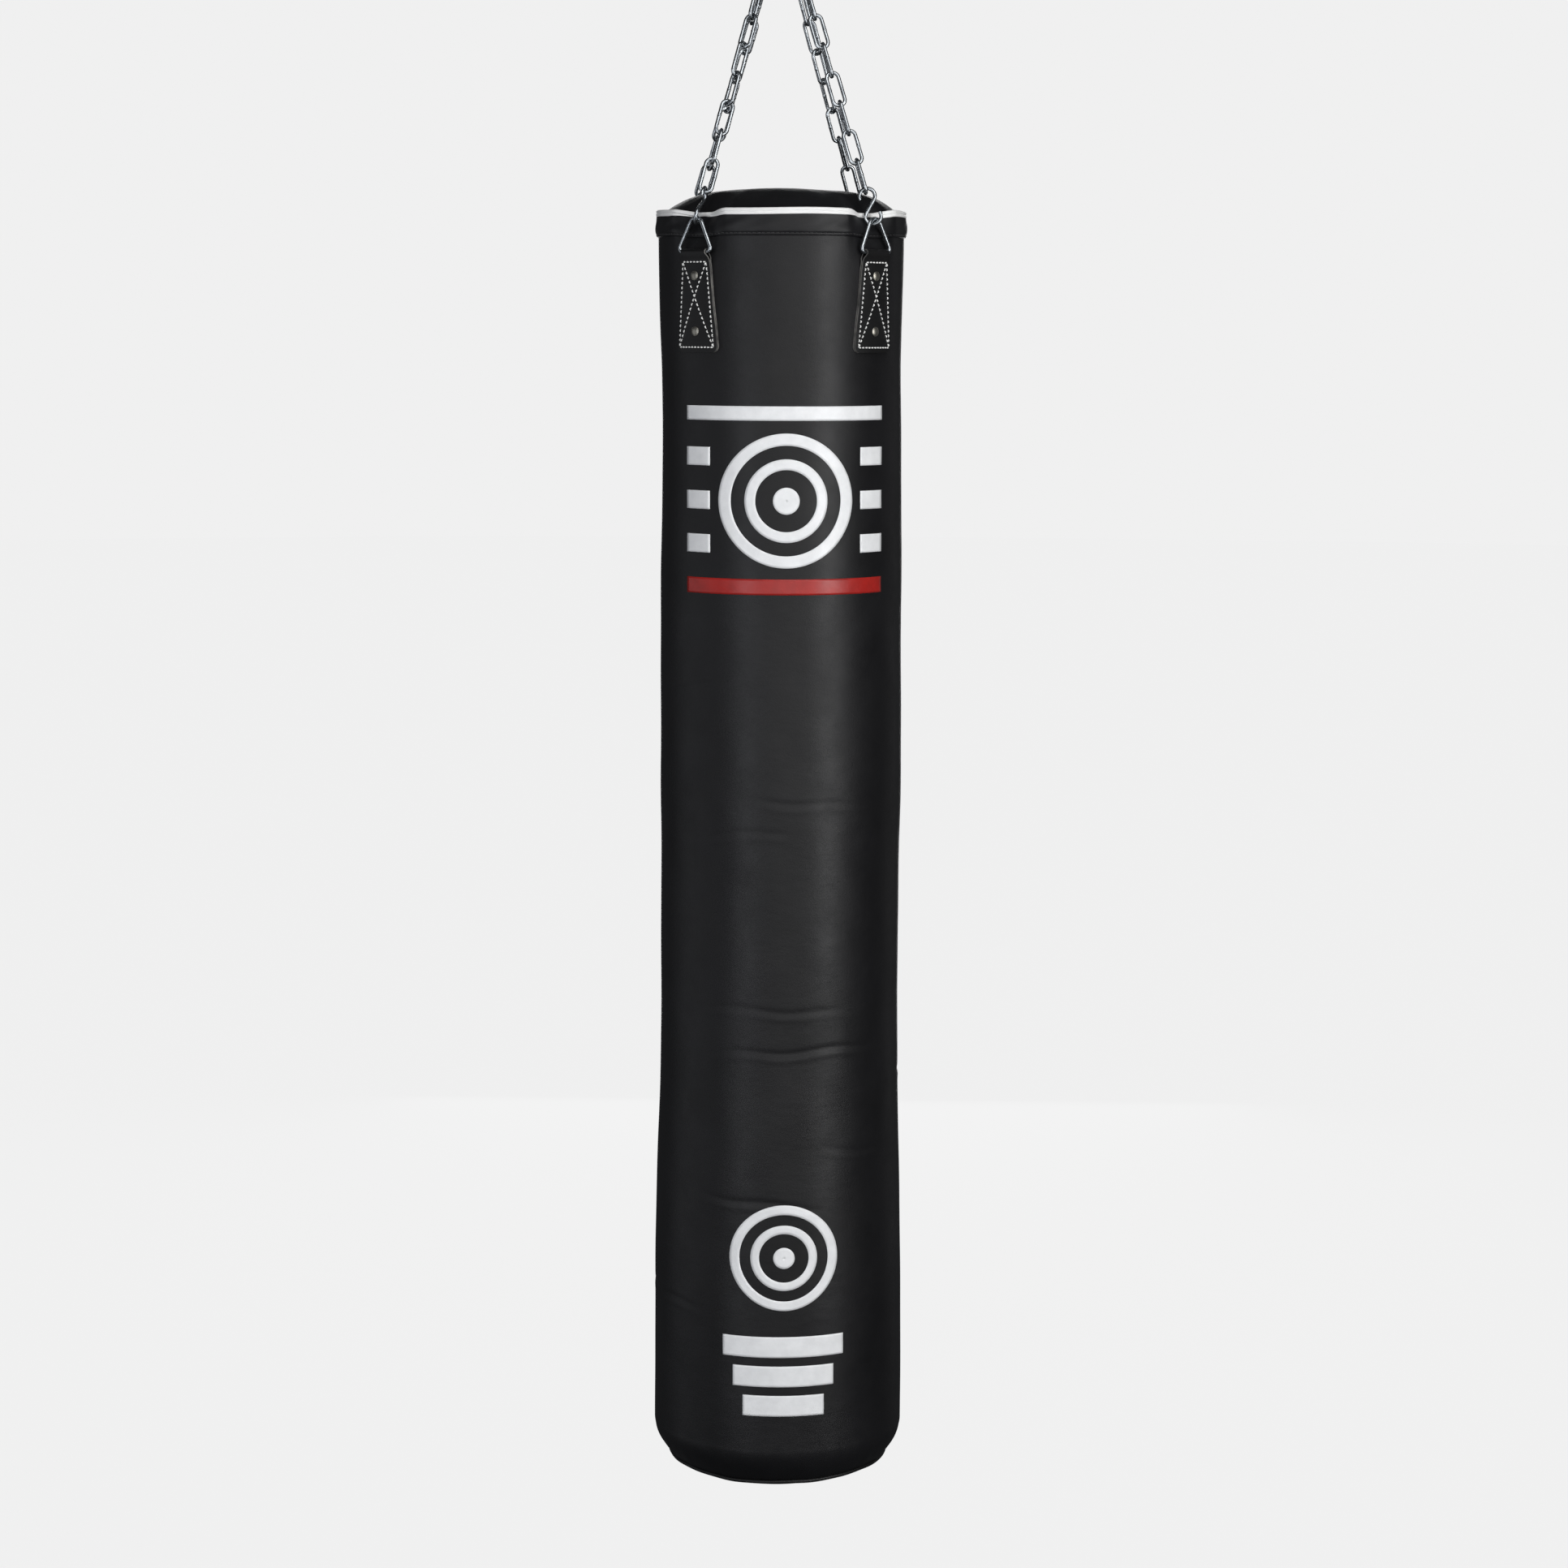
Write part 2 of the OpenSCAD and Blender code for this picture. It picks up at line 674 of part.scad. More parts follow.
module zip_tape_front() { zip_tape(-1); }
module zip_tape_back() { zip_tape(1); }

// One row of teeth on the inner edge of its tape, half a pitch out of step with the other
module zip_teeth(side) {
    count = floor((zip_len - 2 * tape_end) / tooth_pitch);
    first_x = -zip_len / 2 + tape_end + (side > 0 ? tooth_pitch / 2 : 0);
    color([0.12, 0.12, 0.13]) for (i = [0 : count - 1])
        translate([first_x + i * tooth_pitch,
            side > 0 ? zip_y - tooth_lap : zip_y - tooth_w + tooth_lap, rim_z + teeth_z])
            cube([tooth_pitch / 2 - 2 * fit, tooth_w, teeth_h]);
}

module zip_teeth_front() { zip_teeth(-1); }
module zip_teeth_back() { zip_teeth(1); }

module zip_stops() {
    color([0.6, 0.6, 0.6]) for (side = [-1, 1])
        translate([side * (zip_len + tape_end) / 2 - stop_l / 2, zip_y - stop_w / 2,
            rim_z + teeth_z])
            cube([stop_l, stop_w, teeth_h]);
}

// A plate that rides over the teeth, with a flange down each side and two posts that
// hold the pull's pivot pin
module zip_slider() {
    low = tape_z + tape_t + play;
    plate_z = slider_top - slider_t;
    wall = 1;
    sunk = wall / 2;
    post_l = 3;
    post_y = pull_w / 2 + play;
    color([0.3, 0.3, 0.31]) translate([slider_x - slider_l / 2, zip_y, rim_z]) {
        translate([0, -slider_w / 2, plate_z]) cube([slider_l, slider_w, slider_t]);
        for (side = [-1, 1]) {
            translate([0, side * (slider_w - wall) / 2 - wall / 2, low])
                cube([slider_l, wall, plate_z + sunk - low]);
            translate([pivot_inset - post_l / 2, side * (post_y + wall / 2) - wall / 2,
                plate_z + sunk])
                cube([post_l, wall, pivot_z + wall - plate_z - sunk]);
        }
        translate([pivot_inset, -post_y - wall + fit, pivot_z]) rotate([-90, 0, 0])
            cylinder(r = pivot_r, h = 2 * (post_y + wall - fit));
    }
}

// The pull lies along the zip and turns on the slider's pin
module zip_pull() {
    pivot_x = slider_x - slider_l / 2 + pivot_inset;
    barrel_r = pivot_r + 0.6;
    hole_r = 1.5;
    color([0.3, 0.3, 0.31]) difference() {
        union() {
            translate([pivot_x, zip_y - pull_w / 2, rim_z + pivot_z]) rotate([-90, 0, 0])
                cylinder(r = barrel_r, h = pull_w);
            translate([pivot_x, zip_y - pull_w / 2, rim_z + pivot_z - pull_t / 2])
                cube([pull_l, pull_w, pull_t]);
        }
        translate([pivot_x, zip_y - pull_w, rim_z + pivot_z]) rotate([-90, 0, 0])
            cylinder(r = pivot_r + fit, h = 2 * pull_w);
        translate([pivot_x + pull_l - 4, zip_y, rim_z + pivot_z - pull_t])
            cylinder(r = hole_r, h = 2 * pull_t);
    }
}

// ---- Prints -------------------------------------------------------------------

// A film of ink that follows the wall, cut to an outline seen from the front
module film(z_low, z_high, cuts = 1) {
    intersection() {
        wall_layer(z_low - 2, z_high + 2, play, play + print_t, 58, cuts);
        towards_front() children();
    }
}

module ring_outline(z, outer, inner) {
    translate([0, z]) difference() {
        circle(r = outer);
        circle(r = inner);
    }
}

module bar_outline(x_low, x_high, z_low, z_high) {
    translate([x_low, z_low]) square([x_high - x_low, z_high - z_low]);
}

// A striking target of rings round a centre disc
module target(z, radius, cuts) {
    color([0.93, 0.93, 0.93]) {
        for (b = target_bands) film(z - radius, z + radius, cuts)
            ring_outline(z, b[0] * radius, b[1] * radius);
        film(z - radius, z + radius, cuts) translate([0, z]) circle(r = target_disc * radius);
    }
}

module print_header_bar() {
    color([0.93, 0.93, 0.93]) film(header_low, header_high)
        bar_outline(-print_half_w, print_half_w, header_low, header_high);
}

module print_upper_target() { target(upper_target_z, upper_target_r, 1); }

module print_side_bars() {
    color([0.93, 0.93, 0.93]) for (side = [-1, 1], row = [-1 : 1]) {
        low = upper_target_z + side_bar_step * row - side_bar_h / 2;
        film(low, low + side_bar_h) bar_outline(side > 0 ? side_bar_in : -print_half_w,
            side > 0 ? print_half_w : -side_bar_in, low, low + side_bar_h);
    }
}

module print_accent_stripe() {
    color([0.65, 0.1, 0.1]) film(accent_low, accent_high)
        bar_outline(-print_half_w, print_half_w, accent_low, accent_high);
}

module print_lower_target() { target(lower_target_z, lower_target_r, 4); }

module print_lower_bars() {
    color([0.93, 0.93, 0.93]) for (row = [0 : 2]) {
        half = lower_bar_halves[row];
        high = lower_bar_top - lower_bar_step * row;
        film(high - lower_bar_h, high) bar_outline(-half, half, high - lower_bar_h, high);
    }
}

swivel_upper_eye();
swivel_nut();
bearing_lower_race();
bearing_balls();
bearing_upper_race();
swivel_housing();
swivel_lower_eye();
master_ring();
chain_front_left();
chain_front_right();
chain_back_left();
chain_back_right();
s_hook_front_left();
s_hook_front_right();
s_hook_back_left();
s_hook_back_right();
d_ring_front_left();
d_ring_front_right();
d_ring_back_left();
d_ring_back_right();
strap_front_left();
strap_front_right();
strap_back_left();
strap_back_right();
strap_rivets();
rivet_washers();
patch_front_left();
patch_front_right();
patch_back_left();
patch_back_right();
wall_skin();
top_hem_band();
rim_piping();
top_cap();
back_seam_strip();
bottom_panel();
bottom_welt();
foam_lining();
inner_sack();
textile_filling();
zip_tape_front();
zip_tape_back();
zip_teeth_front();
zip_teeth_back();
zip_stops();
zip_slider();
zip_pull();
print_header_bar();
print_upper_target();
print_side_bars();
print_accent_stripe();
print_lower_target();
print_lower_bars();
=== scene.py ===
"""Looks of a hanging heavy bag: synthetic leather, piping, straps, stitching, prints and metal.

Metres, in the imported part's frame: +Z is up, the printed front faces -Y. Heights called
"drop" are counted down from the bag's rim plane, and azimuths from the front towards +X.
"""
import json
import math

import bmesh
import bpy
import numpy as np
from mathutils import Matrix, Vector


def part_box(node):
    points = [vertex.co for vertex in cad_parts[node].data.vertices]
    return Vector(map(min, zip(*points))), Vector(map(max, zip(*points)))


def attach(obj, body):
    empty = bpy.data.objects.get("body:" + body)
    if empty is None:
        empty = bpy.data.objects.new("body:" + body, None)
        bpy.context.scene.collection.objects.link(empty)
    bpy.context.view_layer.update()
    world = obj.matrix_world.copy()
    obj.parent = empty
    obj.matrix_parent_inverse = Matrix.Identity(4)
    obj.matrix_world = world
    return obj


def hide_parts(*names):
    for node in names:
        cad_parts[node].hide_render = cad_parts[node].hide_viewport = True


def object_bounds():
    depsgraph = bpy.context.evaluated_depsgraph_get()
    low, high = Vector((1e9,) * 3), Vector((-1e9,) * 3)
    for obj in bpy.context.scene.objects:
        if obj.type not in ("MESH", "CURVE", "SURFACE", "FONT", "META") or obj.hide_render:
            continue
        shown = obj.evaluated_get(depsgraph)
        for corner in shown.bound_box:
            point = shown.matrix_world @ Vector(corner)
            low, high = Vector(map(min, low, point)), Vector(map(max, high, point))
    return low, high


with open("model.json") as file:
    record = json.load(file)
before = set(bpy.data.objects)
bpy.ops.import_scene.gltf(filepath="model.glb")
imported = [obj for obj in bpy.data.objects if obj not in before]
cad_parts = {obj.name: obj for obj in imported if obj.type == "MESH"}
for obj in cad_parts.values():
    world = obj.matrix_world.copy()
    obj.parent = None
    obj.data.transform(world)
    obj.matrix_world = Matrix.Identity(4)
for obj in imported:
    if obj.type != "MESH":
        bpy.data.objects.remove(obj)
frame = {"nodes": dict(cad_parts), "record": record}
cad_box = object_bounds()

TAU = 2 * math.pi

# ---- Places and sizes ----------------------------------------------------------

RIM_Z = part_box("wall_skin")[1].z + 0.0014       # the wall starts this far below its rim
WELT_R = 0.0026
SEAM_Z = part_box("bottom_welt")[0].z + WELT_R
SEAM_DROP = RIM_Z - SEAM_Z
RIM_R, SEAM_R = 0.1493, 0.1355
# The wall's outline as (drop, radius): stuffing settles, so the lower part is the fullest
OUTLINE = ((0.0, 0.1493), (0.035, 0.1496), (0.15, 0.1475), (0.21, 0.1460), (0.31, 0.1466),
           (0.43, 0.1482), (0.55, 0.1477), (0.70, 0.1492), (0.78, 0.1480), (0.96, 0.1483),
           (1.045, 0.1490), (1.13, 0.1510), (1.235, 0.1537), (1.36, 0.1550), (1.60, 0.1554))
BELLY_R = 0.1553
CORNER_H = 0.043
STRAP_AZIMUTHS = {"front_left": -45.0, "front_right": 45.0,
                  "back_right": 135.0, "back_left": 225.0}
DENT_IN, DENT_DOWN, DENT_HALF, DENT_FADE = 0.016, 0.0045, 17.0, 0.062
HEM_H, HEM_T = 0.028, 0.0018
PIPING_R = 0.0026
CAP_RISE, CAP_EDGE_R, CAP_POWER = 0.0295, 0.143, 4.4
SKIN_T = 0.002
BOTTOM_SAG = 0.0365
D_BAR_DROP, D_BAR_R, D_WIRE_R = 0.048, 0.1523, 0.0024
STRAP_BOTTOM_DROP = 0.166
SHEET_T = 0.0019
RIVET_DROPS = (0.0755, 0.141)
THREAD_R = 0.00042

# ---- Camera, light and floor ---------------------------------------------------

FRAME_PX = 1932
FOCAL_PX = 4299
CAMERA_DISTANCE = 4.3
CAMERA_AZIMUTH = math.radians(-2.75)
CAMERA_DROP = 0.133
CAMERA_TILT = math.radians(7.5)
CAMERA_PAN = math.radians(0.075)
CAMERA_ROLL = math.radians(0.2)

FLOOR_GAP = 0.55            # below the part's lowest point
FLOOR_R, BACKDROP_R = 29.0, 30.0
BACKDROP = 0.871            # linear brightness of the pale surroundings
FLOOR_ALBEDO = 0.02
FLOOR_GLOW = BACKDROP - 0.3 * FLOOR_ALBEDO      # the lamps add the rest
WORLD_LIGHT = 0.045
# Soft boxes: azimuth, distance, height and aim from the rim plane, size, power, colour
COOL, NEUTRAL = (0.93, 0.95, 1.0), (1, 1, 1)
LIGHTS = {
    "key_right": (42, 3.0, -0.3, -0.7, (0.8, 3.0), 50, NEUTRAL),
    "fill_left": (-35, 3.6, -0.7, -0.8, (0.8, 3.4), 30, COOL),
    "front_soft": (2, 5.5, -0.5, -0.8, (3.6, 3.6), 62, NEUTRAL),
    "side_left": (-88, 4.0, -1.1, -1.1, (3.4, 3.6), 20, COOL),
    "top_soft": (12, 2.2, 2.0, 0.0, (2.2, 1.6), 34, NEUTRAL),
    "back_soft": (176, 4.5, -0.4, -0.7, (2.2, 3.4), 75, NEUTRAL),
    "edge_right": (128, 3.4, -0.6, -0.8, (0.6, 3.6), 1.8, NEUTRAL),
}


def aim(obj, target):
    """Turns a light or camera so that it looks at target."""
    obj.rotation_euler = (Vector(target) - obj.location).to_track_quat("-Z", "Y").to_euler()


def make_camera():
    data = bpy.data.cameras.new("camera")
    data.sensor_width = 36
    data.lens = 36 * FOCAL_PX / FRAME_PX
    camera = bpy.data.objects.new("camera", data)
    bpy.context.collection.objects.link(camera)
    out = Vector((math.sin(CAMERA_AZIMUTH), -math.cos(CAMERA_AZIMUTH), 0))
    camera.location = out * CAMERA_DISTANCE + Vector((0, 0, RIM_Z - CAMERA_DROP))
    yaw = Matrix.Rotation(CAMERA_AZIMUTH - CAMERA_PAN, 3, "Z")
    tilt = Matrix.Rotation(math.pi / 2 - CAMERA_TILT, 3, "X")
    roll = Matrix.Rotation(CAMERA_ROLL, 3, "Z")
    camera.rotation_euler = (yaw @ tilt @ roll).to_euler()
    bpy.context.scene.camera = camera


def make_lights():
    """Soft boxes round the bag, each facing a point on its axis."""
    for name, (azimuth, distance, height, aim_height, size, power, color) in LIGHTS.items():
        data = bpy.data.lights.new(name, "AREA")
        data.shape = "RECTANGLE"
        data.size, data.size_y = size
        data.energy = power
        data.color = color
        light = bpy.data.objects.new(name, data)
        bpy.context.collection.objects.link(light)
        a = math.radians(azimuth)
        light.location = (distance * math.sin(a), -distance * math.cos(a), RIM_Z + height)
        light.visible_camera = False
        aim(light, (0, 0, RIM_Z + aim_height))


def hide_from_light(obj):
    """Leaves a stage piece visible only to the camera, so that it lights nothing."""
    obj.visible_diffuse = obj.visible_glossy = obj.visible_shadow = False
    obj.visible_transmission = False


def pale_material(name, glow, albedo):
    """A matt pale surface that mostly glows, as an evenly lit studio sweep looks."""
    mat, _, _, shader = new_material(name, (albedo,) * 3, 0.95)
    shader.inputs["Specular IOR Level"].default_value = 0.0
    shader.inputs["Emission Color"].default_value = (1, 1, 1, 1)
    shader.inputs["Emission Strength"].default_value = glow
    return mat


def make_stage():
    """A wide pale floor below the bag, and a pale dome of backdrop round everything."""
    floor_z = cad_box[0][2] - FLOOR_GAP
    bm = bmesh.new()
    bmesh.ops.create_circle(bm, cap_ends=True, segments=96, radius=FLOOR_R,
                            matrix=Matrix.Translation((0, 0, floor_z)))
    finish_stage(bm, "floor", pale_material("pale_floor", FLOOR_GLOW, FLOOR_ALBEDO))
    bm = bmesh.new()
    bmesh.ops.create_icosphere(bm, subdivisions=4, radius=BACKDROP_R)
    finish_stage(bm, "backdrop", pale_material("pale_backdrop", BACKDROP, 0.0))


def finish_stage(bm, name, material):
    mesh = bpy.data.meshes.new(name)
    bm.to_mesh(mesh)
    bm.free()
    obj = bpy.data.objects.new(name, mesh)
    bpy.context.collection.objects.link(obj)
    mesh.materials.append(material)
    hide_from_light(obj)


def make_world():
    world = bpy.data.worlds.new("studio")
    world.use_nodes = True
    background = world.node_tree.nodes["Background"]
    background.inputs["Color"].default_value = (0.94, 0.96, 1.0, 1)
    background.inputs["Strength"].default_value = WORLD_LIGHT
    bpy.context.scene.world = world
    bpy.context.scene.view_settings.view_transform = "Standard"


# ---- Materials -----------------------------------------------------------------


def new_material(name, color, roughness, metallic=0.0):
    mat = bpy.data.materials.new(name)
    mat.use_nodes = True
    nodes, links = mat.node_tree.nodes, mat.node_tree.links
    shader = nodes["Principled BSDF"]
    shader.inputs["Base Color"].default_value = (*color, 1)
    shader.inputs["Roughness"].default_value = roughness
    shader.inputs["Metallic"].default_value = metallic
    return mat, nodes, links, shader


def place_texture(nodes, links, stretch=(1, 1, 1)):
    """Object-space coordinates in metres, stretched along the axes."""
    coords = nodes.new("ShaderNodeTexCoord")
    mapping = nodes.new("ShaderNodeMapping")
    mapping.inputs["Scale"].default_value = stretch
    links.new(coords.outputs["Object"], mapping.inputs["Vector"])
    return mapping.outputs["Vector"]


def add_noise(nodes, links, vector, scale, detail=3.0, roughness=0.55):
    noise = nodes.new("ShaderNodeTexNoise")
    noise.inputs["Scale"].default_value = scale
    noise.inputs["Detail"].default_value = detail
    noise.inputs["Roughness"].default_value = roughness
    links.new(vector, noise.inputs["Vector"])
    return noise.outputs["Fac"]


def add_cells(nodes, links, vector, scale, feature="F1"):
    cells = nodes.new("ShaderNodeTexVoronoi")
    cells.feature = feature
    cells.inputs["Scale"].default_value = scale
    links.new(vector, cells.inputs["Vector"])
    return cells.outputs["Distance"]


def add_ramp(nodes, links, fac, stops):
    ramp = nodes.new("ShaderNodeValToRGB")
    elements = ramp.color_ramp.elements
    while len(elements) < len(stops):
        elements.new(0.5)
    for element, (place, value) in zip(elements, stops):
        element.position = place
        element.color = (*value, 1) if isinstance(value, tuple) else (value,) * 3 + (1,)
    links.new(fac, ramp.inputs["Fac"])
    return ramp.outputs["Color"]


def add_bump(nodes, links, shader, height, strength, distance, under=None):
    bump = nodes.new("ShaderNodeBump")
    bump.inputs["Strength"].default_value = strength
    bump.inputs["Distance"].default_value = distance
    links.new(height, bump.inputs["Height"])
    if under is not None:
        links.new(under, bump.inputs["Normal"])
    links.new(bump.outputs["Normal"], shader.inputs["Normal"])
    return bump.outputs["Normal"]


def leather_material(name, dark, light, roughness, grain=1.0):
    """Synthetic leather: fine pebble grain, shallow pores, faint patches of shade and gloss."""
    mat, nodes, links, shader = new_material(name, dark, roughness[0])
    where = place_texture(nodes, links)
    patches = add_noise(nodes, links, where, 9, 4)
    links.new(add_ramp(nodes, links, patches, [(0.35, dark), (0.68, light)]),
              shader.inputs["Base Color"])
    gloss = add_noise(nodes, links, where, 26, 5, 0.65)
    links.new(add_ramp(nodes, links, gloss, [(0.3, roughness[0]), (0.72, roughness[1])]),
              shader.inputs["Roughness"])
    pebbles = add_cells(nodes, links, where, 620 * grain)
    low = add_bump(nodes, links, shader, pebbles, 0.10, 0.0006)
    fine = add_noise(nodes, links, where, 1500 * grain, 2)
    mid = add_bump(nodes, links, shader, fine, 0.06, 0.0004, low)
    waves = add_noise(nodes, links, place_texture(nodes, links, (1, 1, 2.2)), 30, 3)
    add_bump(nodes, links, shader, waves, 0.12, 0.003, mid)
    shader.inputs["Specular IOR Level"].default_value = 0.32
    return mat


def metal_material(name, dark, light, roughness, streak=1.0):
    """Plated steel wire: passivated patches, fine drawing streaks and small pits."""
    mat, nodes, links, shader = new_material(name, light, roughness[0], 1.0)
    where = place_texture(nodes, links)
    patches = add_noise(nodes, links, where, 70, 4, 0.6)
    links.new(add_ramp(nodes, links, patches, [(0.32, dark), (0.66, light)]),
              shader.inputs["Base Color"])
    wear = add_noise(nodes, links, where, 420, 5, 0.7)
    links.new(add_ramp(nodes, links, wear, [(0.3, roughness[0]), (0.75, roughness[1])]),
              shader.inputs["Roughness"])
    streaks = add_noise(nodes, links, place_texture(nodes, links, (1, 1, 0.12)), 900 * streak, 2)
    low = add_bump(nodes, links, shader, streaks, 0.06, 0.0003)
    pits = add_cells(nodes, links, where, 800)
    add_bump(nodes, links, shader, pits, 0.04, 0.0003, low)
    return mat


def vinyl_material(name, dark, light, roughness, bump=0.08, scale=500):
    """Smooth vinyl or ink film with faint mottling."""
    mat, nodes, links, shader = new_material(name, light, roughness[0])
    where = place_texture(nodes, links)
    mottle = add_noise(nodes, links, where, 55, 5, 0.6)
    links.new(add_ramp(nodes, links, mottle, [(0.3, dark), (0.65, light)]),
              shader.inputs["Base Color"])
    links.new(add_ramp(nodes, links, add_noise(nodes, links, where, 120, 3),
                       [(0.3, roughness[0]), (0.7, roughness[1])]), shader.inputs["Roughness"])
    add_bump(nodes, links, shader, add_cells(nodes, links, where, scale), bump, 0.0004)
    return mat


def woven_material(name, dark, light, scale=900, roughness=0.85):
    """Plain weave: two crossed wave patterns over a soft fibre noise."""
    mat, nodes, links, shader = new_material(name, light, roughness)
    where = place_texture(nodes, links)
    waves = []
    for direction in ("X", "Z"):
        wave = nodes.new("ShaderNodeTexWave")
        wave.bands_direction = direction
        wave.inputs["Scale"].default_value = scale / 6
        links.new(where, wave.inputs["Vector"])
        waves.append(wave.outputs["Fac"])
    weave = nodes.new("ShaderNodeMath")
    weave.operation = "MULTIPLY"
    links.new(waves[0], weave.inputs[0])
    links.new(waves[1], weave.inputs[1])
    links.new(add_ramp(nodes, links, add_noise(nodes, links, where, 200, 4),
                       [(0.3, dark), (0.7, light)]), shader.inputs["Base Color"])
    add_bump(nodes, links, shader, weave.outputs[0], 0.4, 0.0005)
    shader.inputs["Sheen Weight"].default_value = 0.2
    return mat


def make_materials():
    return {
        "skin": leather_material("bag_leather", (0.0045, 0.0045, 0.0052),
                                 (0.0072, 0.0071, 0.0082), (0.40, 0.50)),
        "strap_leather": leather_material("strap_leather", (0.0040, 0.0040, 0.0043),
                                          (0.0068, 0.0067, 0.0071), (0.42, 0.55), 1.25),
        "cut_edge": vinyl_material("raw_cut_edge", (0.03, 0.029, 0.028), (0.17, 0.165, 0.155),
                                   (0.7, 0.85), 0.4, 1200),
        "piping_vinyl": vinyl_material("white_piping", (0.84, 0.84, 0.83), (0.91, 0.91, 0.90),
                                       (0.35, 0.45)),
        "zinc_steel": metal_material("zinc_plate", (0.26, 0.28, 0.30), (0.50, 0.53, 0.55),
                                     (0.22, 0.32)),
        "nickel": metal_material("nickel_plate", (0.24, 0.23, 0.20), (0.40, 0.385, 0.34),
                                 (0.34, 0.46), 0.6),
        "patch_webbing": woven_material("patch_webbing", (0.02, 0.02, 0.022), (0.05, 0.05, 0.05)),
        "foam": vinyl_material("foam", (0.2, 0.2, 0.21), (0.32, 0.32, 0.33), (0.9, 0.95), 0.6),
        "sack_cloth": woven_material("sack_cloth", (0.5, 0.48, 0.42), (0.75, 0.72, 0.66)),
        "filling": woven_material("textile_filling", (0.25, 0.22, 0.2), (0.5, 0.46, 0.43), 500),
        "zip_tape": woven_material("zip_tape", (0.012, 0.012, 0.013), (0.03, 0.03, 0.032), 1800),
        "zip_teeth": vinyl_material("zip_teeth", (0.02, 0.02, 0.022), (0.045, 0.045, 0.048),
                                    (0.3, 0.4)),
        "zip_metal": metal_material("zip_metal", (0.05, 0.05, 0.055), (0.14, 0.14, 0.15),
                                    (0.28, 0.42)),
        "white_print": vinyl_material("white_ink", (0.78, 0.79, 0.80), (0.87, 0.88, 0.89),
                                      (0.32, 0.42)),
        "accent_print": vinyl_material("accent_ink", (0.30, 0.012, 0.009), (0.39, 0.016, 0.012),
                                       (0.32, 0.42)),
        "white_thread": woven_material("white_thread", (0.84, 0.84, 0.82), (0.93, 0.93, 0.91),
                                       3000, 0.7),
        "black_thread": woven_material("black_thread", (0.008, 0.008, 0.009), (0.02, 0.02, 0.022),
                                       3000, 0.7),
    }


# ---- Shape of the bag ----------------------------------------------------------


def ease(t):
    t = np.clip(t, 0, 1)
    return t * t * (3 - 2 * t)


def profile_r(drop):
    """Radius of the wall's outer face without dents or creases."""
    drop = np.asarray(drop, float)
    drops, radii = zip(*OUTLINE)
    body = sum(np.interp(drop + k * 0.011, drops, radii) for k in range(-3, 4)) / 7
    low = SEAM_R + (BELLY_R - SEAM_R) * (1 - ((drop - (SEAM_DROP - CORNER_H)) / CORNER_H) ** 2)
    return np.where(drop > SEAM_DROP - CORNER_H, low, body)


def strap_pull(azimuth):
    """How strongly the nearest strap pulls at an azimuth in degrees."""
    return ease(1.25 * (1 - np.abs(np.mod(azimuth, 90) - 45) / DENT_HALF))


def pull_depth(drop):
    return np.maximum(0, 1 - np.maximum(drop, 0) / DENT_FADE) ** 1.5


# Creases across the wall: drop, centre azimuth, half angle, depth, slope
CREASES = (
    (0.705, 12, 34, 0.0007, 0.006), (0.742, -20, 28, 0.0006, -0.005),
    (0.958, -6, 46, 0.0007, 0.004), (1.008, 8, 52, 0.0010, -0.004),
    (1.196, -12, 34, 0.0009, 0.008), (1.135, 38, 24, 0.0006, 0.005),
    (0.560, -48, 26, 0.0006, -0.008),
    (0.640, 150, 40, 0.0009, 0.008), (0.905, 205, 44, 0.0009, -0.006),
    (1.240, 172, 50, 0.0010, 0.005), (1.060, 96, 30, 0.0008, 0.010),
    (0.420, 230, 30, 0.0007, -0.010), (1.330, -70, 36, 0.0008, 0.004),
)
CREASE_WIDTH = 0.0042
LEAN = 0.0014               # the upper half stands this far off the axis, towards +X


def wall_relief(azimuth, drop):
    """Slow lumps of the filling, creases, and gathers above the bottom seam."""
    a = np.radians(azimuth)
    inner = ease((drop - 0.05) / 0.15) * ease((SEAM_DROP - drop) / 0.05)
    lumps = (0.0005 * np.sin(2 * a + 7.1 * drop + 0.9)
             + 0.00032 * np.sin(3 * a - 17 * drop + 2.2)
             + 0.00022 * np.sin(5 * a + 31 * drop + 2 * np.sin(a + 11 * drop))
             + 0.00012 * np.sin(9 * a - 53 * drop + 1.1))
    lean = LEAN * ease((drop - 0.08) / 0.2) * (1 - ease((drop - 0.7) / 0.45))
    relief = (lumps + lean * np.sin(a)) * inner
    for at, centre, half, depth, slope in CREASES:
        away = np.mod(azimuth - centre + 180, 360) - 180
        line = at + slope * away / half + 0.0022 * np.sin(away / 7.0 + 40 * at)
        reach = ease(1.4 * (1 - np.abs(away) / half))
        d = (drop - line) / CREASE_WIDTH
        relief = relief + reach * depth * (0.55 * np.exp(-((d - 1.7) ** 2)) - np.exp(-d * d))
    gather = ease((drop - (SEAM_DROP - 0.060)) / 0.050)
    folds = (np.sin(31 * a + 2.1 * np.sin(3 * a)) + 0.6 * np.sin(47 * a + 1.3)
             + 0.5 * np.sin(17 * a + 0.7))
    return relief + 0.00030 * gather * folds


def wall_point(azimuth, drop, off=0.0):
    """A point on the wall's outer face, or off it, as arrays of x, y and z."""
    azimuth, drop = np.broadcast_arrays(np.asarray(azimuth, float), np.asarray(drop, float))
    pull = pull_depth(drop) * strap_pull(azimuth)
    r = profile_r(drop) + wall_relief(azimuth, drop) - DENT_IN * pull + off
    a = np.radians(azimuth)
    low = ease((drop - (SEAM_DROP - CORNER_H)) / CORNER_H)
    z = RIM_Z - drop - DENT_DOWN * pull + seam_wave(azimuth) * low
    return np.stack([r * np.sin(a), -r * np.cos(a), z], -1)


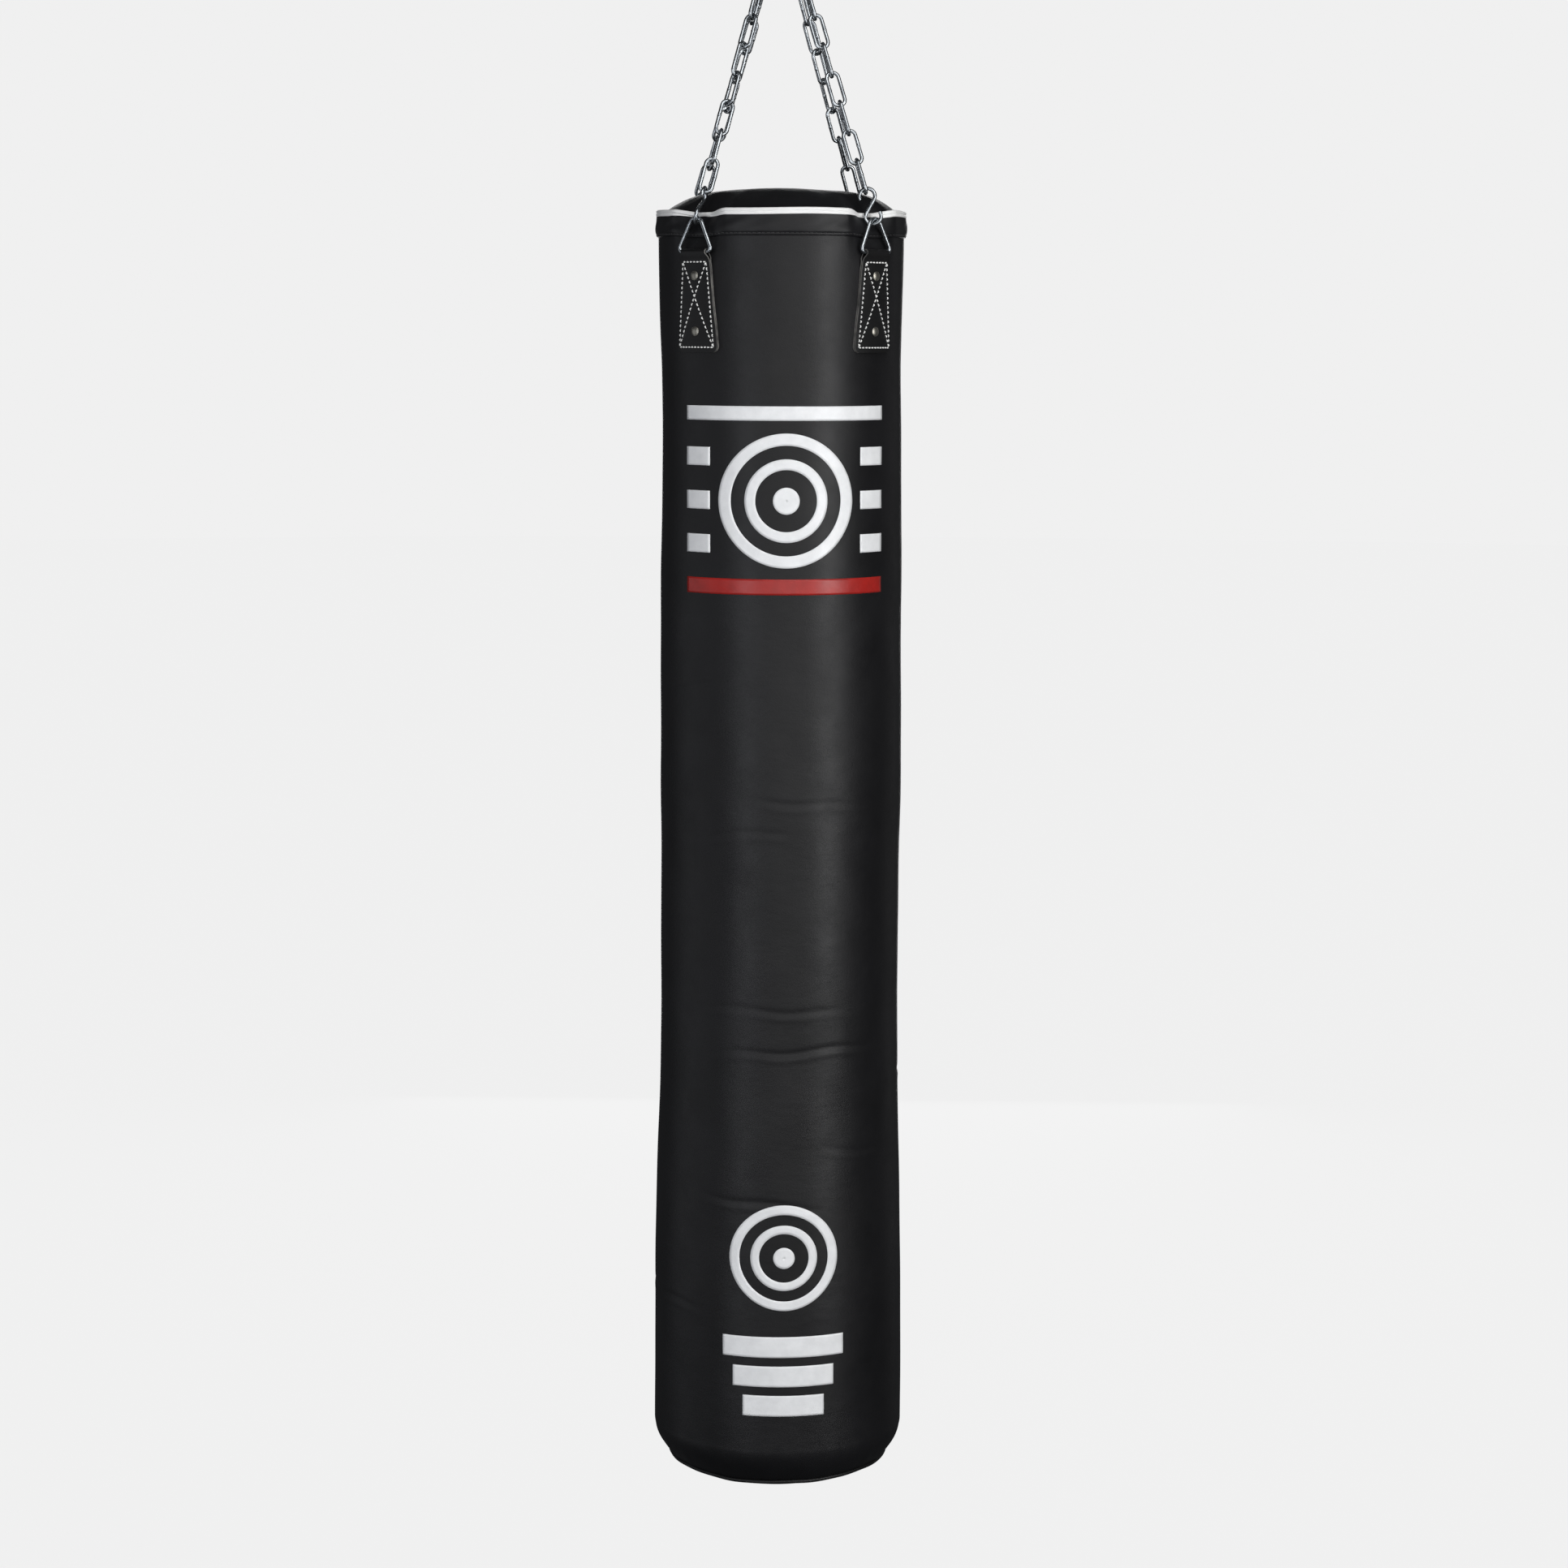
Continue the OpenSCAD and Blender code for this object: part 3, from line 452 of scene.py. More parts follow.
# ---- Mesh helpers --------------------------------------------------------------


def new_object(name, verts, faces, material):
    """A smooth mesh object that rides on the bag and takes its finish from a slot."""
    mesh = bpy.data.meshes.new(name)
    mesh.from_pydata([tuple(v) for v in verts], [], faces)
    mesh.validate()
    obj = bpy.data.objects.new(name, mesh)
    bpy.context.collection.objects.link(obj)
    mesh.shade_smooth()
    mesh.materials.append(MATERIALS[material])
    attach(obj, "bag")
    return obj


def grid_faces(rows, columns, wrap_rows=False, wrap_columns=True, start=0):
    """Quads between rows of points, each row with the same number of points."""
    faces = []
    for i in range(rows if wrap_rows else rows - 1):
        for j in range(columns if wrap_columns else columns - 1):
            i2, j2 = (i + 1) % rows, (j + 1) % columns
            faces.append((start + i * columns + j, start + i2 * columns + j,
                          start + i2 * columns + j2, start + i * columns + j2))
    return faces


def fix_normals(obj):
    bm = bmesh.new()
    bm.from_mesh(obj.data)
    bmesh.ops.recalc_face_normals(bm, faces=bm.faces)
    bm.to_mesh(obj.data)
    bm.free()


def loft(name, rings, material, closed=False):
    """A closed solid through rings of points. Closed joins the last ring to the first;
    otherwise each end is filled from its centre."""
    rings = np.asarray(rings, float)
    count, columns = rings.shape[:2]
    verts = rings.reshape(-1, 3)
    faces = grid_faces(count, columns, wrap_rows=closed)
    if not closed:
        verts = np.vstack([verts, rings[0].mean(0), rings[-1].mean(0)])
        first, last = len(verts) - 2, (count - 1) * columns
        for j in range(columns):
            j2 = (j + 1) % columns
            faces.append((first, j, j2))
            faces.append((first + 1, last + j2, last + j))
    obj = new_object(name, verts, faces, material)
    fix_normals(obj)
    return obj


def tube(name, path, radius, material, sides):
    """A closed loop of round cord along a path of points."""
    path = np.asarray(path, float)
    ahead = np.roll(path, -1, 0) - np.roll(path, 1, 0)
    ahead /= np.linalg.norm(ahead, axis=1)[:, None]
    side = np.cross(ahead[0], (0.31, 0.52, 0.79))
    rings = []
    for point, direction in zip(path, ahead):
        side = side - direction * side.dot(direction)
        side /= np.linalg.norm(side)
        up = np.cross(direction, side)
        turns = np.linspace(0, TAU, sides, endpoint=False)
        rings.append(point + radius * (np.cos(turns)[:, None] * side
                                       + np.sin(turns)[:, None] * up))
    return loft(name, rings, material, closed=True)


STITCH_SIDES = 6
STITCH_WIDTHS = (0.45, 0.95, 1.0, 0.95, 0.45)


def stitches(name, runs, material, radius=THREAD_R):
    """Thread stitches as one piece: each run is (start, middle, end) points of a stitch,
    the ends dipping into the leather."""
    verts, faces = [], []
    for start, middle, end in runs:
        lift = middle - (start + end) / 2
        path = np.array([start, start * 0.7 + end * 0.3 + lift, middle,
                         start * 0.3 + end * 0.7 + lift, end])
        direction = (end - start) / max(np.linalg.norm(end - start), 1e-9)
        up = lift / max(np.linalg.norm(lift), 1e-9)
        side = np.cross(direction, up)
        base = len(verts)
        for point, width in zip(path, STITCH_WIDTHS):
            for k in range(STITCH_SIDES):
                t = TAU * k / STITCH_SIDES
                verts.append(point + radius * width * (math.cos(t) * side * 1.15
                                                       + math.sin(t) * up))
        faces += grid_faces(len(path), STITCH_SIDES, start=base)
        faces.append(tuple(base + k for k in reversed(range(STITCH_SIDES))))
        last = base + (len(path) - 1) * STITCH_SIDES
        faces.append(tuple(last + k for k in range(STITCH_SIDES)))
    fix_normals(new_object(name, verts, faces, material))


# ---- Bag skins -----------------------------------------------------------------

AROUND = 432
AZIMUTHS = np.linspace(0, 360, AROUND, endpoint=False)


def make_wall():
    """The wall: fine rows outside for creases and gathers, a few rows inside."""
    corner = SEAM_DROP - CORNER_H
    outer = np.concatenate([np.linspace(0.0014, 0.07, 22), np.linspace(0.074, corner - 0.04, 520),
                            np.linspace(corner - 0.037, SEAM_DROP - 0.0027, 44)])
    inner = np.linspace(SEAM_DROP - 0.0027, 0.0014, 40)
    rings = [wall_point(AZIMUTHS, d) for d in outer]
    rings += [wall_point(AZIMUTHS, d, -SKIN_T) for d in inner]
    wall = loft("bag_wall", rings, "skin", closed=True)
    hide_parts("wall_skin")


FOAM_TOP_DROP = 0.175
FOAM_GAP, FOAM_T = 0.0004, 0.0086


def make_foam():
    """The foam lining, which follows the wall's inside."""
    drops = np.linspace(SEAM_DROP - CORNER_H, FOAM_TOP_DROP, 150)
    rings = [wall_point(AZIMUTHS, d, -SKIN_T - FOAM_GAP) for d in drops]
    rings += [wall_point(AZIMUTHS, d, -SKIN_T - FOAM_GAP - FOAM_T) for d in drops[::-5]]
    foam = loft("foam_sheet", rings, "foam", closed=True)
    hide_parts("foam_lining")


HEM_STITCHES = 168
HEM_STITCH_DROP = HEM_H - 0.0022


def hem_face(azimuth, drop):
    """How far the hem's outer face stands off the wall."""
    t = np.clip(drop / HEM_H, 0, 1)
    barrel = 0.0017 * np.sin(math.pi * np.clip(t, 0, 1) ** 1.7) ** 0.8
    stitch_line = 0.0007 * np.exp(-(((drop - HEM_STITCH_DROP) / 0.0011) ** 2))
    waves = 0.00025 * np.sin(np.radians(azimuth) * 23 + 9 * t) * np.sin(math.pi * t)
    near_strap = strap_pull(azimuth + 9) * (1 - strap_pull(azimuth)) * 0.0006
    return HEM_T + 0.0003 + barrel - stitch_line + waves + near_strap * np.sin(9 * t)


def make_hem():
    """The band turned over the rim, with a rounded lower edge and a stitch groove."""
    drops = np.linspace(0.0012, HEM_H, 34)
    rings = [wall_point(AZIMUTHS, d, hem_face(AZIMUTHS, d)) for d in drops]
    for t in (0.33, 0.66, 1.0):
        a = t * math.pi / 2
        rings.append(wall_point(AZIMUTHS, HEM_H + 0.0007 * math.sin(a),
                                0.0004 + (HEM_T - 0.0006) * math.cos(a)))
    rings += [wall_point(AZIMUTHS, d, 0.00025) for d in (HEM_H, 0.018, 0.009, 0.0012)]
    hem = loft("hem_band", rings, "skin", closed=True)
    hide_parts("top_hem_band")


def make_hem_stitching():
    runs = []
    drop = HEM_STITCH_DROP
    pitch = 360 / HEM_STITCHES
    for i in range(HEM_STITCHES):
        a = i * pitch
        ends = [wall_point(a + s * pitch * 0.36, drop + 0.0002 * s,
                           hem_face(a, drop) - 0.0002) for s in (-1, 1)]
        middle = wall_point(a, drop, hem_face(a, drop) + 0.0004)
        runs.append((ends[0], middle, ends[1]))
    stitches("hem_stitching", runs, "black_thread", 0.0004)


def rim_frame(azimuth, out, up):
    """Points given by how far they lie outside the wall's rim radius and above its plane."""
    pull = strap_pull(azimuth)
    a = np.radians(azimuth)
    r = RIM_R + out - DENT_IN * pull
    sway = 0.0004 * np.sin(3 * a + 0.8) + 0.0003 * np.sin(7 * a)
    return np.stack([r * np.sin(a), -r * np.cos(a),
                     RIM_Z + up + sway - DENT_DOWN * pull], -1)


def make_piping():
    """White piping: a round cord in vinyl, and its flat lip over the hem's top."""
    around = np.linspace(0, 360, 720, endpoint=False)
    rings = []
    for t in np.linspace(0, TAU, 20, endpoint=False):
        ripple = 1 + 0.012 * np.sin(np.radians(around) * 90)
        rings.append(rim_frame(around, 0.0004 + PIPING_R * math.cos(t) * ripple,
                               0.0012 + PIPING_R * math.sin(t) * ripple))
    cord = loft("piping_cord", rings, "piping_vinyl", closed=True)
    lip_path = [(0.0016, -0.0002), (0.0026, -0.0008), (0.0031, -0.0016), (0.0032, -0.0036),
                (0.0028, -0.0042), (0.0022, -0.0036), (0.0020, -0.0016)]
    lip = loft("piping_lip", [rim_frame(around, o, u) for o, u in lip_path],
               "piping_vinyl", closed=True)
    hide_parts("rim_piping")
    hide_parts("rim_piping")


def cap_height(r):
    return CAP_RISE * (1 - (r / CAP_EDGE_R) ** CAP_POWER)


def cap_ring(r, azimuth, under=0.0):
    """One ring of the top cap, with soft waves and gathers beside the straps."""
    a = np.radians(azimuth)
    near = max(0.0, (r - 0.098) / (CAP_EDGE_R - 0.098)) ** 1.2
    pull = strap_pull(azimuth) * near
    edge = float(ease((r - 0.06) / 0.08))
    beside = strap_pull(azimuth + 12) + strap_pull(azimuth - 12)
    gathers = 0.0006 * edge * np.sin(20 * a + 1.5 * np.sin(4 * a)) * (0.4 + beside)
    waves = 0.0010 * np.sin(2 * a + 0.7) * edge + 0.0006 * np.sin(3 * a + 30 * r)
    fade = float(ease((0.1405 - r) / 0.02))
    height = cap_height(r) - under + (waves + gathers) * fade
    rr = r - DENT_IN * pull
    return np.stack([rr * np.sin(a), -rr * np.cos(a),
                     RIM_Z + height - DENT_DOWN * pull], -1)


SLOT_HALF_W, SLOT_CORNER_R = 0.0065, 0.003


def slot_outline():
    """Round-cornered outline of the slot over the zip's tapes."""
    low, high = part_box("zip_slider")
    zip_y = (low.y + high.y) / 2
    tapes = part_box("zip_tape_front")
    half_l = (tapes[1].x - tapes[0].x) / 2 + 0.001
    outline = []
    for cx, cy, start in ((1, 1, 0), (-1, 1, 90), (-1, -1, 180), (1, -1, 270)):
        for k in range(5):
            t = math.radians(start + 22.5 * k)
            outline.append((cx * (half_l - SLOT_CORNER_R) + SLOT_CORNER_R * math.cos(t),
                            zip_y + cy * (SLOT_HALF_W - SLOT_CORNER_R)
                            + SLOT_CORNER_R * math.sin(t)))
    return outline


def make_cap():
    """The domed cap with its edge tucked behind the piping, and a slot for the zip."""
    radii = np.concatenate([[0.004], np.linspace(0.012, 0.128, 60), np.linspace(0.130, 0.1405, 14)])
    rings = [cap_ring(r, AZIMUTHS) for r in radii]
    rings += [rim_frame(AZIMUTHS, o, u) for o, u in ((-0.0058, 0.0012), (-0.0034, 0.0006),
                                                     (-0.0032, -0.0012))]
    rings += [cap_ring(r - 0.0016, AZIMUTHS, SKIN_T) for r in radii[:0:-4]]
    cap = loft("dome_cap", rings, "skin")
    outline = slot_outline()
    slot = [np.array([(x, y, z) for x, y in outline]) for z in (RIM_Z + 0.015, RIM_Z + 0.05)]
    cutter = loft("slot_cutter", slot, "skin")
    cut = cap.modifiers.new("slot", "BOOLEAN")
    cut.operation, cut.object, cut.solver = "DIFFERENCE", cutter, "EXACT"
    apply_modifiers(cap)
    bpy.data.objects.remove(cutter)
    cap.data.shade_smooth()
    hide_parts("top_cap")


def apply_modifiers(obj):
    """Bakes an object's modifiers into its mesh."""
    graph = bpy.context.evaluated_depsgraph_get()
    mesh = bpy.data.meshes.new_from_object(obj.evaluated_get(graph))
    obj.modifiers.clear()
    old = obj.data
    obj.data = mesh
    bpy.data.meshes.remove(old)


def seam_wave(azimuth):
    """The bottom seam's small ups and downs. It hangs lowest at the front and back."""
    a = np.radians(azimuth)
    return (0.0005 * np.sin(3 * a + 0.4) + 0.0004 * np.sin(8 * a + 1.9)
            + 0.0002 * np.sin(17 * a + 0.2) - 0.0018 * np.cos(2 * a))


def make_bottom():
    """The bottom panel, gathered into its seam, and the welt round it."""
    a = np.radians(AZIMUTHS)

    def panel_ring(r, lift=0.0):
        edge = float(ease((r - 0.09) / 0.045))
        sag = BOTTOM_SAG * (1 - (r / SEAM_R) ** 2)
        folds = 0.0004 * edge * (np.sin(31 * a + 0.5) + 0.6 * np.sin(19 * a + 2.0))
        soft = 0.0008 * np.sin(2 * a + 1.0) * (r / SEAM_R) * (1 - edge)
        z = SEAM_Z - sag + lift + folds + seam_wave(AZIMUTHS) * edge + soft
        return np.stack([r * np.sin(a), -r * np.cos(a), z], -1)

    radii = np.concatenate([[0.003], np.linspace(0.010, 0.118, 44),
                            np.linspace(0.120, SEAM_R - 0.003, 14)])
    rings = [panel_ring(r) for r in radii]
    rings += [panel_ring(r, SKIN_T) for r in radii[::-4]]
    panel = loft("bottom_dome", rings, "skin")
    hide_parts("bottom_panel")
    around = np.linspace(0, 360, 480, endpoint=False)
    turns = np.radians(around)
    welt_path_r = SEAM_R + 0.0003
    path = np.stack([welt_path_r * np.sin(turns), -welt_path_r * np.cos(turns),
                     SEAM_Z + seam_wave(around)], -1)
    welt = tube("seam_welt", path, WELT_R, "strap_leather", sides=14)
    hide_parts("bottom_welt")


STRIP_HALF_W, STRIP_STITCH_OUT, STRIP_STITCH_PITCH = 0.013, 0.0098, 0.006


def make_back_strip():
    """The overlapping strip that closes the wall's sheet at the back."""
    drops = np.linspace(HEM_H + 0.004, SEAM_DROP - CORNER_H, 380)
    across = np.linspace(-1, 1, 13)
    verts, columns = [], 2 * len(across)
    for d in drops:
        r = float(profile_r(d))
        for s in across:
            bow = 0.0012 * (1 - s ** 8) ** 0.5
            verts.append(wall_point(180 + math.degrees(s * STRIP_HALF_W / r), d, 0.0003 + bow))
        for s in across[::-1]:
            verts.append(wall_point(180 + math.degrees(s * STRIP_HALF_W * 0.97 / r), d, 0.0002))
    faces = grid_faces(len(drops), columns)
    faces.append(tuple(range(columns)))
    last = (len(drops) - 1) * columns
    faces.append(tuple(last + k for k in reversed(range(columns))))
    strip = new_object("back_seam", verts, faces, "skin")
    fix_normals(strip)
    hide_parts("back_seam_strip")
    runs = []
    for side in (-1, 1):
        for d in np.arange(HEM_H + 0.008, SEAM_DROP - CORNER_H - 0.004, STRIP_STITCH_PITCH):
            az = 180 + math.degrees(side * STRIP_STITCH_OUT / float(profile_r(d)))
            points = [wall_point(az, d + s, 0.0013 + lift)
                      for s, lift in ((-0.002, 0), (0, 0.00055), (0.002, 0))]
            runs.append(points)
    stitches("back_stitching", runs, "black_thread")


# ---- Straps --------------------------------------------------------------------

FOLD_W, STRAP_TOP_W, STRAP_LOW_W = 0.0385, 0.047, 0.066
STRAP_TOP_DROP = 0.0555
CORNER_R = 0.0085
STITCH_INSET = 0.0048
STITCH_TOP, STITCH_LOW = 0.0595, 0.1600
FOLD_R = D_WIRE_R + 0.0003 + SHEET_T / 2
STRAP_GAP, LEG_GAP = 0.0004, 0.0002     # under the strap, and between its two legs
BEND_DROP = 0.060                       # where the legs start to spread round the bar
STRAP_COLUMNS = 25


def strap_width(drop):
    """Width of a strap at a drop, without its rounded lower corners."""
    if drop < STRAP_TOP_DROP:
        t = float(ease((drop - D_BAR_DROP) / (STRAP_TOP_DROP - D_BAR_DROP)))
        return FOLD_W + (STRAP_TOP_W - FOLD_W) * t
    t = (drop - STRAP_TOP_DROP) / (STRAP_BOTTOM_DROP - STRAP_TOP_DROP)
    waist = -0.0016 * math.sin(math.pi * min(t * 1.4, 1.0))
    return STRAP_TOP_W + (STRAP_LOW_W - STRAP_TOP_W) * t ** 1.08 + waist


def strap_half(drop):
    """Half width with the lower corners rounded."""
    half = strap_width(drop) / 2
    rest = STRAP_BOTTOM_DROP - drop
    if rest < CORNER_R:
        half -= CORNER_R - math.sqrt(max(CORNER_R ** 2 - (CORNER_R - rest) ** 2, 0.0))
    return half


def strap_place(azimuth, x, drop, off):
    """A point of a strap: x across it, off the wall. Near the D-ring's bar it lies straight."""
    wrapped_r = float(profile_r(drop)) + off
    round_it = float(ease((drop - D_BAR_DROP - 0.002) / 0.022))
    turn = x / wrapped_r
    wrapped = np.array([wrapped_r * math.sin(turn), -wrapped_r * math.cos(turn)])
    straight = np.array([x, -wrapped_r])
    p = wrapped * round_it + straight * (1 - round_it)
    a = math.radians(azimuth)
    return np.array([p[0] * math.cos(a) - p[1] * math.sin(a),
                     p[0] * math.sin(a) + p[1] * math.cos(a), RIM_Z - drop])


def strap_path():
    """The folded sheet's mid-line as (drop, off the wall), from the outer leg's lower end
    round the bar to the inner leg's."""
    outer_off = STRAP_GAP + 1.5 * SHEET_T + LEG_GAP
    inner_off = STRAP_GAP + 0.5 * SHEET_T
    corner = STRAP_BOTTOM_DROP - CORNER_R * (1 - np.cos(np.linspace(0, math.pi / 2, 9)))
    drops = np.concatenate([corner,
                            np.linspace(STRAP_BOTTOM_DROP - CORNER_R, BEND_DROP, 44)[1:]])
    path = [(d, outer_off) for d in drops]
    bar_off = D_BAR_R - float(profile_r(D_BAR_DROP))
    for i in range(1, 9):
        t = i / 9
        s = float(ease(t))
        path.append((BEND_DROP - (BEND_DROP - D_BAR_DROP) * t,
                     outer_off + (bar_off + FOLD_R - outer_off) * s))
    for i in range(0, 15):
        t = math.pi * i / 14
        path.append((D_BAR_DROP - FOLD_R * math.sin(t), bar_off + FOLD_R * math.cos(t)))
    for i in range(1, 9):
        t = i / 9
        s = float(ease(t))
        path.append((D_BAR_DROP + (BEND_DROP - D_BAR_DROP) * t,
                     bar_off - FOLD_R + (inner_off - bar_off + FOLD_R) * s))
    path += [(d, inner_off) for d in drops[::-1]]
    return path


def strap_faces(count):
    """Faces of a strap's two sides, and of its cut edges."""
    sheet = grid_faces(count, STRAP_COLUMNS, wrap_columns=False)
    second = count * STRAP_COLUMNS
    sides = sheet + [f[::-1] for f in grid_faces(count, STRAP_COLUMNS, wrap_columns=False,
                                                 start=second)]
    edges = [(i * STRAP_COLUMNS + j, (i + 1) * STRAP_COLUMNS + j)
             for i in range(count - 1) for j in (0, STRAP_COLUMNS - 1)]
    edges += [(i * STRAP_COLUMNS + j, i * STRAP_COLUMNS + j + 1)
              for i in (0, count - 1) for j in range(STRAP_COLUMNS - 1)]
    return sides, [(a, b, second + b, second + a) for a, b in edges]


def make_strap(name, azimuth):
    """One strip of leather folded round the D-ring's bar, its two legs stitched together.
    Its cut edges are a second material."""
    path = strap_path()
    across = np.sin(np.linspace(-math.pi / 2, math.pi / 2, STRAP_COLUMNS))
    verts, count = [], len(path)
    for side in (1, -1):
        for i, (drop, off) in enumerate(path):
            before, after = path[max(i - 1, 0)], path[min(i + 1, count - 1)]
            along = np.array([after[0] - before[0], after[1] - before[1]])
            along /= max(np.linalg.norm(along), 1e-9)
            normal = np.array([along[1], -along[0]])
            for s in across:
                x = s * strap_half(drop)
                thin = 1 - 0.16 * abs(s) ** 14
                d = drop + side * normal[0] * SHEET_T / 2 * thin
                o = off + side * normal[1] * SHEET_T / 2 * thin
                verts.append(strap_place(azimuth, x, d, o))
    sides, edges = strap_faces(count)
    strap = new_object("leather_" + name, verts, sides + edges, "strap_leather")
    strap.data.materials.append(MATERIALS["cut_edge"])
    for polygon in strap.data.polygons[len(sides):]:
        polygon.material_index = 1
    fix_normals(strap)
    bevel = strap.modifiers.new("edge", "BEVEL")
    bevel.width, bevel.segments, bevel.angle_limit = 0.00035, 2, math.radians(50)
    apply_modifiers(strap)
    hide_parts("strap_" + name)


FACE_OFF = STRAP_GAP + 2 * SHEET_T + LEG_GAP
DASH = 0.66                 # share of a stitch's pitch that shows
STITCH_DIP, STITCH_LIFT = -0.0002, 0.0008


def strap_stitch_line(azimuth, start, end, count):
    """Stitches along a straight line on a strap's face, as (x, drop) ends."""
    runs = []
    for i in range(count):
        points = []
        for s, lift in ((-DASH / 2, STITCH_DIP), (0.0, STITCH_LIFT), (DASH / 2, STITCH_DIP)):
            t = (i + 0.5 + s) / count
            x = start[0] + (end[0] - start[0]) * t
            d = start[1] + (end[1] - start[1]) * t
            points.append(strap_place(azimuth, x, d, FACE_OFF + lift))
        runs.append(points)
    return runs


def make_strap_stitching(name, azimuth):
    """The white border and cross of a strap, as one piece."""
    top = strap_width(STITCH_TOP) / 2 - STITCH_INSET
    low = strap_width(STITCH_LOW) / 2 - STITCH_INSET
    a, b = (-top, STITCH_TOP), (top, STITCH_TOP)
    c, d = (low, STITCH_LOW), (-low, STITCH_LOW)
    lines = [(a, b, 7), (b, c, 18), (c, d, 11), (d, a, 18), (a, c, 19), (b, d, 19)]
    runs = []
    for start, end, count in lines:
        runs += strap_stitch_line(azimuth, start, end, count)
    stitches("stitching_" + name, runs, "white_thread", 0.0008)


def make_rivets():
    """Domed rivet heads with a rim, each pressed a little into the strap."""
    shape = [(0.0, 0.00215), (0.0012, 0.00212), (0.0026, 0.00195), (0.0038, 0.0016),
             (0.0047, 0.00115), (0.0051, 0.0009), (0.0056, 0.00078), (0.0058, 0.00045),
             (0.0056, 0.0001), (0.0050, -0.0002), (0.0021, -0.0003), (0.0020, -0.0050)]
    sides = 40
    verts, faces = [], []
    for azimuth in STRAP_AZIMUTHS.values():
        for drop in RIVET_DROPS:
            a = math.radians(azimuth)
            out = np.array([math.sin(a), -math.cos(a), 0])
            across = np.array([math.cos(a), math.sin(a), 0])
            up = np.array([0, 0, 1.0])
            centre = out * (float(profile_r(drop)) + FACE_OFF - 0.0003) + up * (RIM_Z - drop)
            base = len(verts)
            for r, h in shape[1:]:
                for k in range(sides):
                    t = TAU * k / sides
                    verts.append(centre + out * h + r * (math.cos(t) * across
                                                         + math.sin(t) * up))
            faces += grid_faces(len(shape) - 1, sides, start=base)
            faces.append(tuple(base + k for k in reversed(range(sides))))
            last = base + (len(shape) - 2) * sides
            faces.append(tuple(last + k for k in range(sides)))
    rivets = new_object("rivet_heads", verts, faces, "nickel")
    fix_normals(rivets)
    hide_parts("strap_rivets")


# ---- Prints --------------------------------------------------------------------

PRINT_OFF, PRINT_SUNK = 0.00022, -0.0002
SIDE_BAR_IN, SIDE_BAR_H = 0.090, 0.022
LOWER_BAR_HALVES, LOWER_BAR_H, LOWER_BAR_STEP = (0.074, 0.062, 0.050), 0.026, 0.037
TARGET_BANDS = ((1.0, 0.82), (0.62, 0.46), (0.2, 0.001))    # shares of a target's radius


def print_patch(points, rows, columns, wrap=False):
    """Vertices and faces of a thin film over the wall, from a grid of (x, drop) points."""
    verts, faces = [], []
    for lift in (PRINT_OFF, PRINT_SUNK):
        for x, drop in points:
            r = float(profile_r(drop))
            az = math.degrees(math.asin(max(-0.98, min(0.98, x / r))))
            verts.append(wall_point(az, drop, lift))
    count = rows * columns
    faces += grid_faces(rows, columns, wrap_columns=wrap)
    faces += [f[::-1] for f in grid_faces(rows, columns, wrap_columns=wrap, start=count)]
    edge = []
    if wrap:
        for row in (0, rows - 1):
            edge += [(row * columns + j, row * columns + (j + 1) % columns)
                     for j in range(columns)]
    else:
        for row in (0, rows - 1):
            edge += [(row * columns + j, row * columns + j + 1) for j in range(columns - 1)]
        for column in (0, columns - 1):
            edge += [(i * columns + column, (i + 1) * columns + column)
                     for i in range(rows - 1)]
    faces += [(a, b, b + count, a + count) for a, b in edge]
    return verts, faces


def make_print(name, patches, material, node):
    verts, faces = [], []
    for points, rows, columns, wrap in patches:
        v, f = print_patch(points, rows, columns, wrap)
        faces += [tuple(i + len(verts) for i in face) for face in f]
        verts += v
    film = new_object(name, verts, faces, material)
    fix_normals(film)
    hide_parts(node)


def ring_patch(drop, outer, inner):
    """A printed ring, as seen from the front."""
    columns, rows = 180, max(3, int((outer - inner) / 0.0022))
    points = []
    for r in np.linspace(inner, outer, rows):
        for t in np.linspace(0, TAU, columns, endpoint=False):
            points.append((r * math.cos(t), drop - r * math.sin(t)))
    return points, rows, columns, True


def bar_patch(x_low, x_high, drop_low, drop_high):
    """A printed bar."""
    rows = max(4, int((drop_high - drop_low) / 0.0022))
    columns = max(4, int((x_high - x_low) / 0.0026))
    points = []
    for i in range(rows):
        t = i / (rows - 1)
        for j in range(columns):
            x = x_low + (x_high - x_low) * j / (columns - 1)
            points.append((x, drop_low + (drop_high - drop_low) * t))
    return points, rows, columns, False


def node_drops(node):
    low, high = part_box(node)
    return RIM_Z - high.z, RIM_Z - low.z


def make_target(name, node):
    top, low = node_drops(node)
    radius, drop = (low - top) / 2, (low + top) / 2
    patches = [ring_patch(drop, radius * a, radius * b)
               for a, b in TARGET_BANDS]
    make_print(name, patches, "white_print", node)


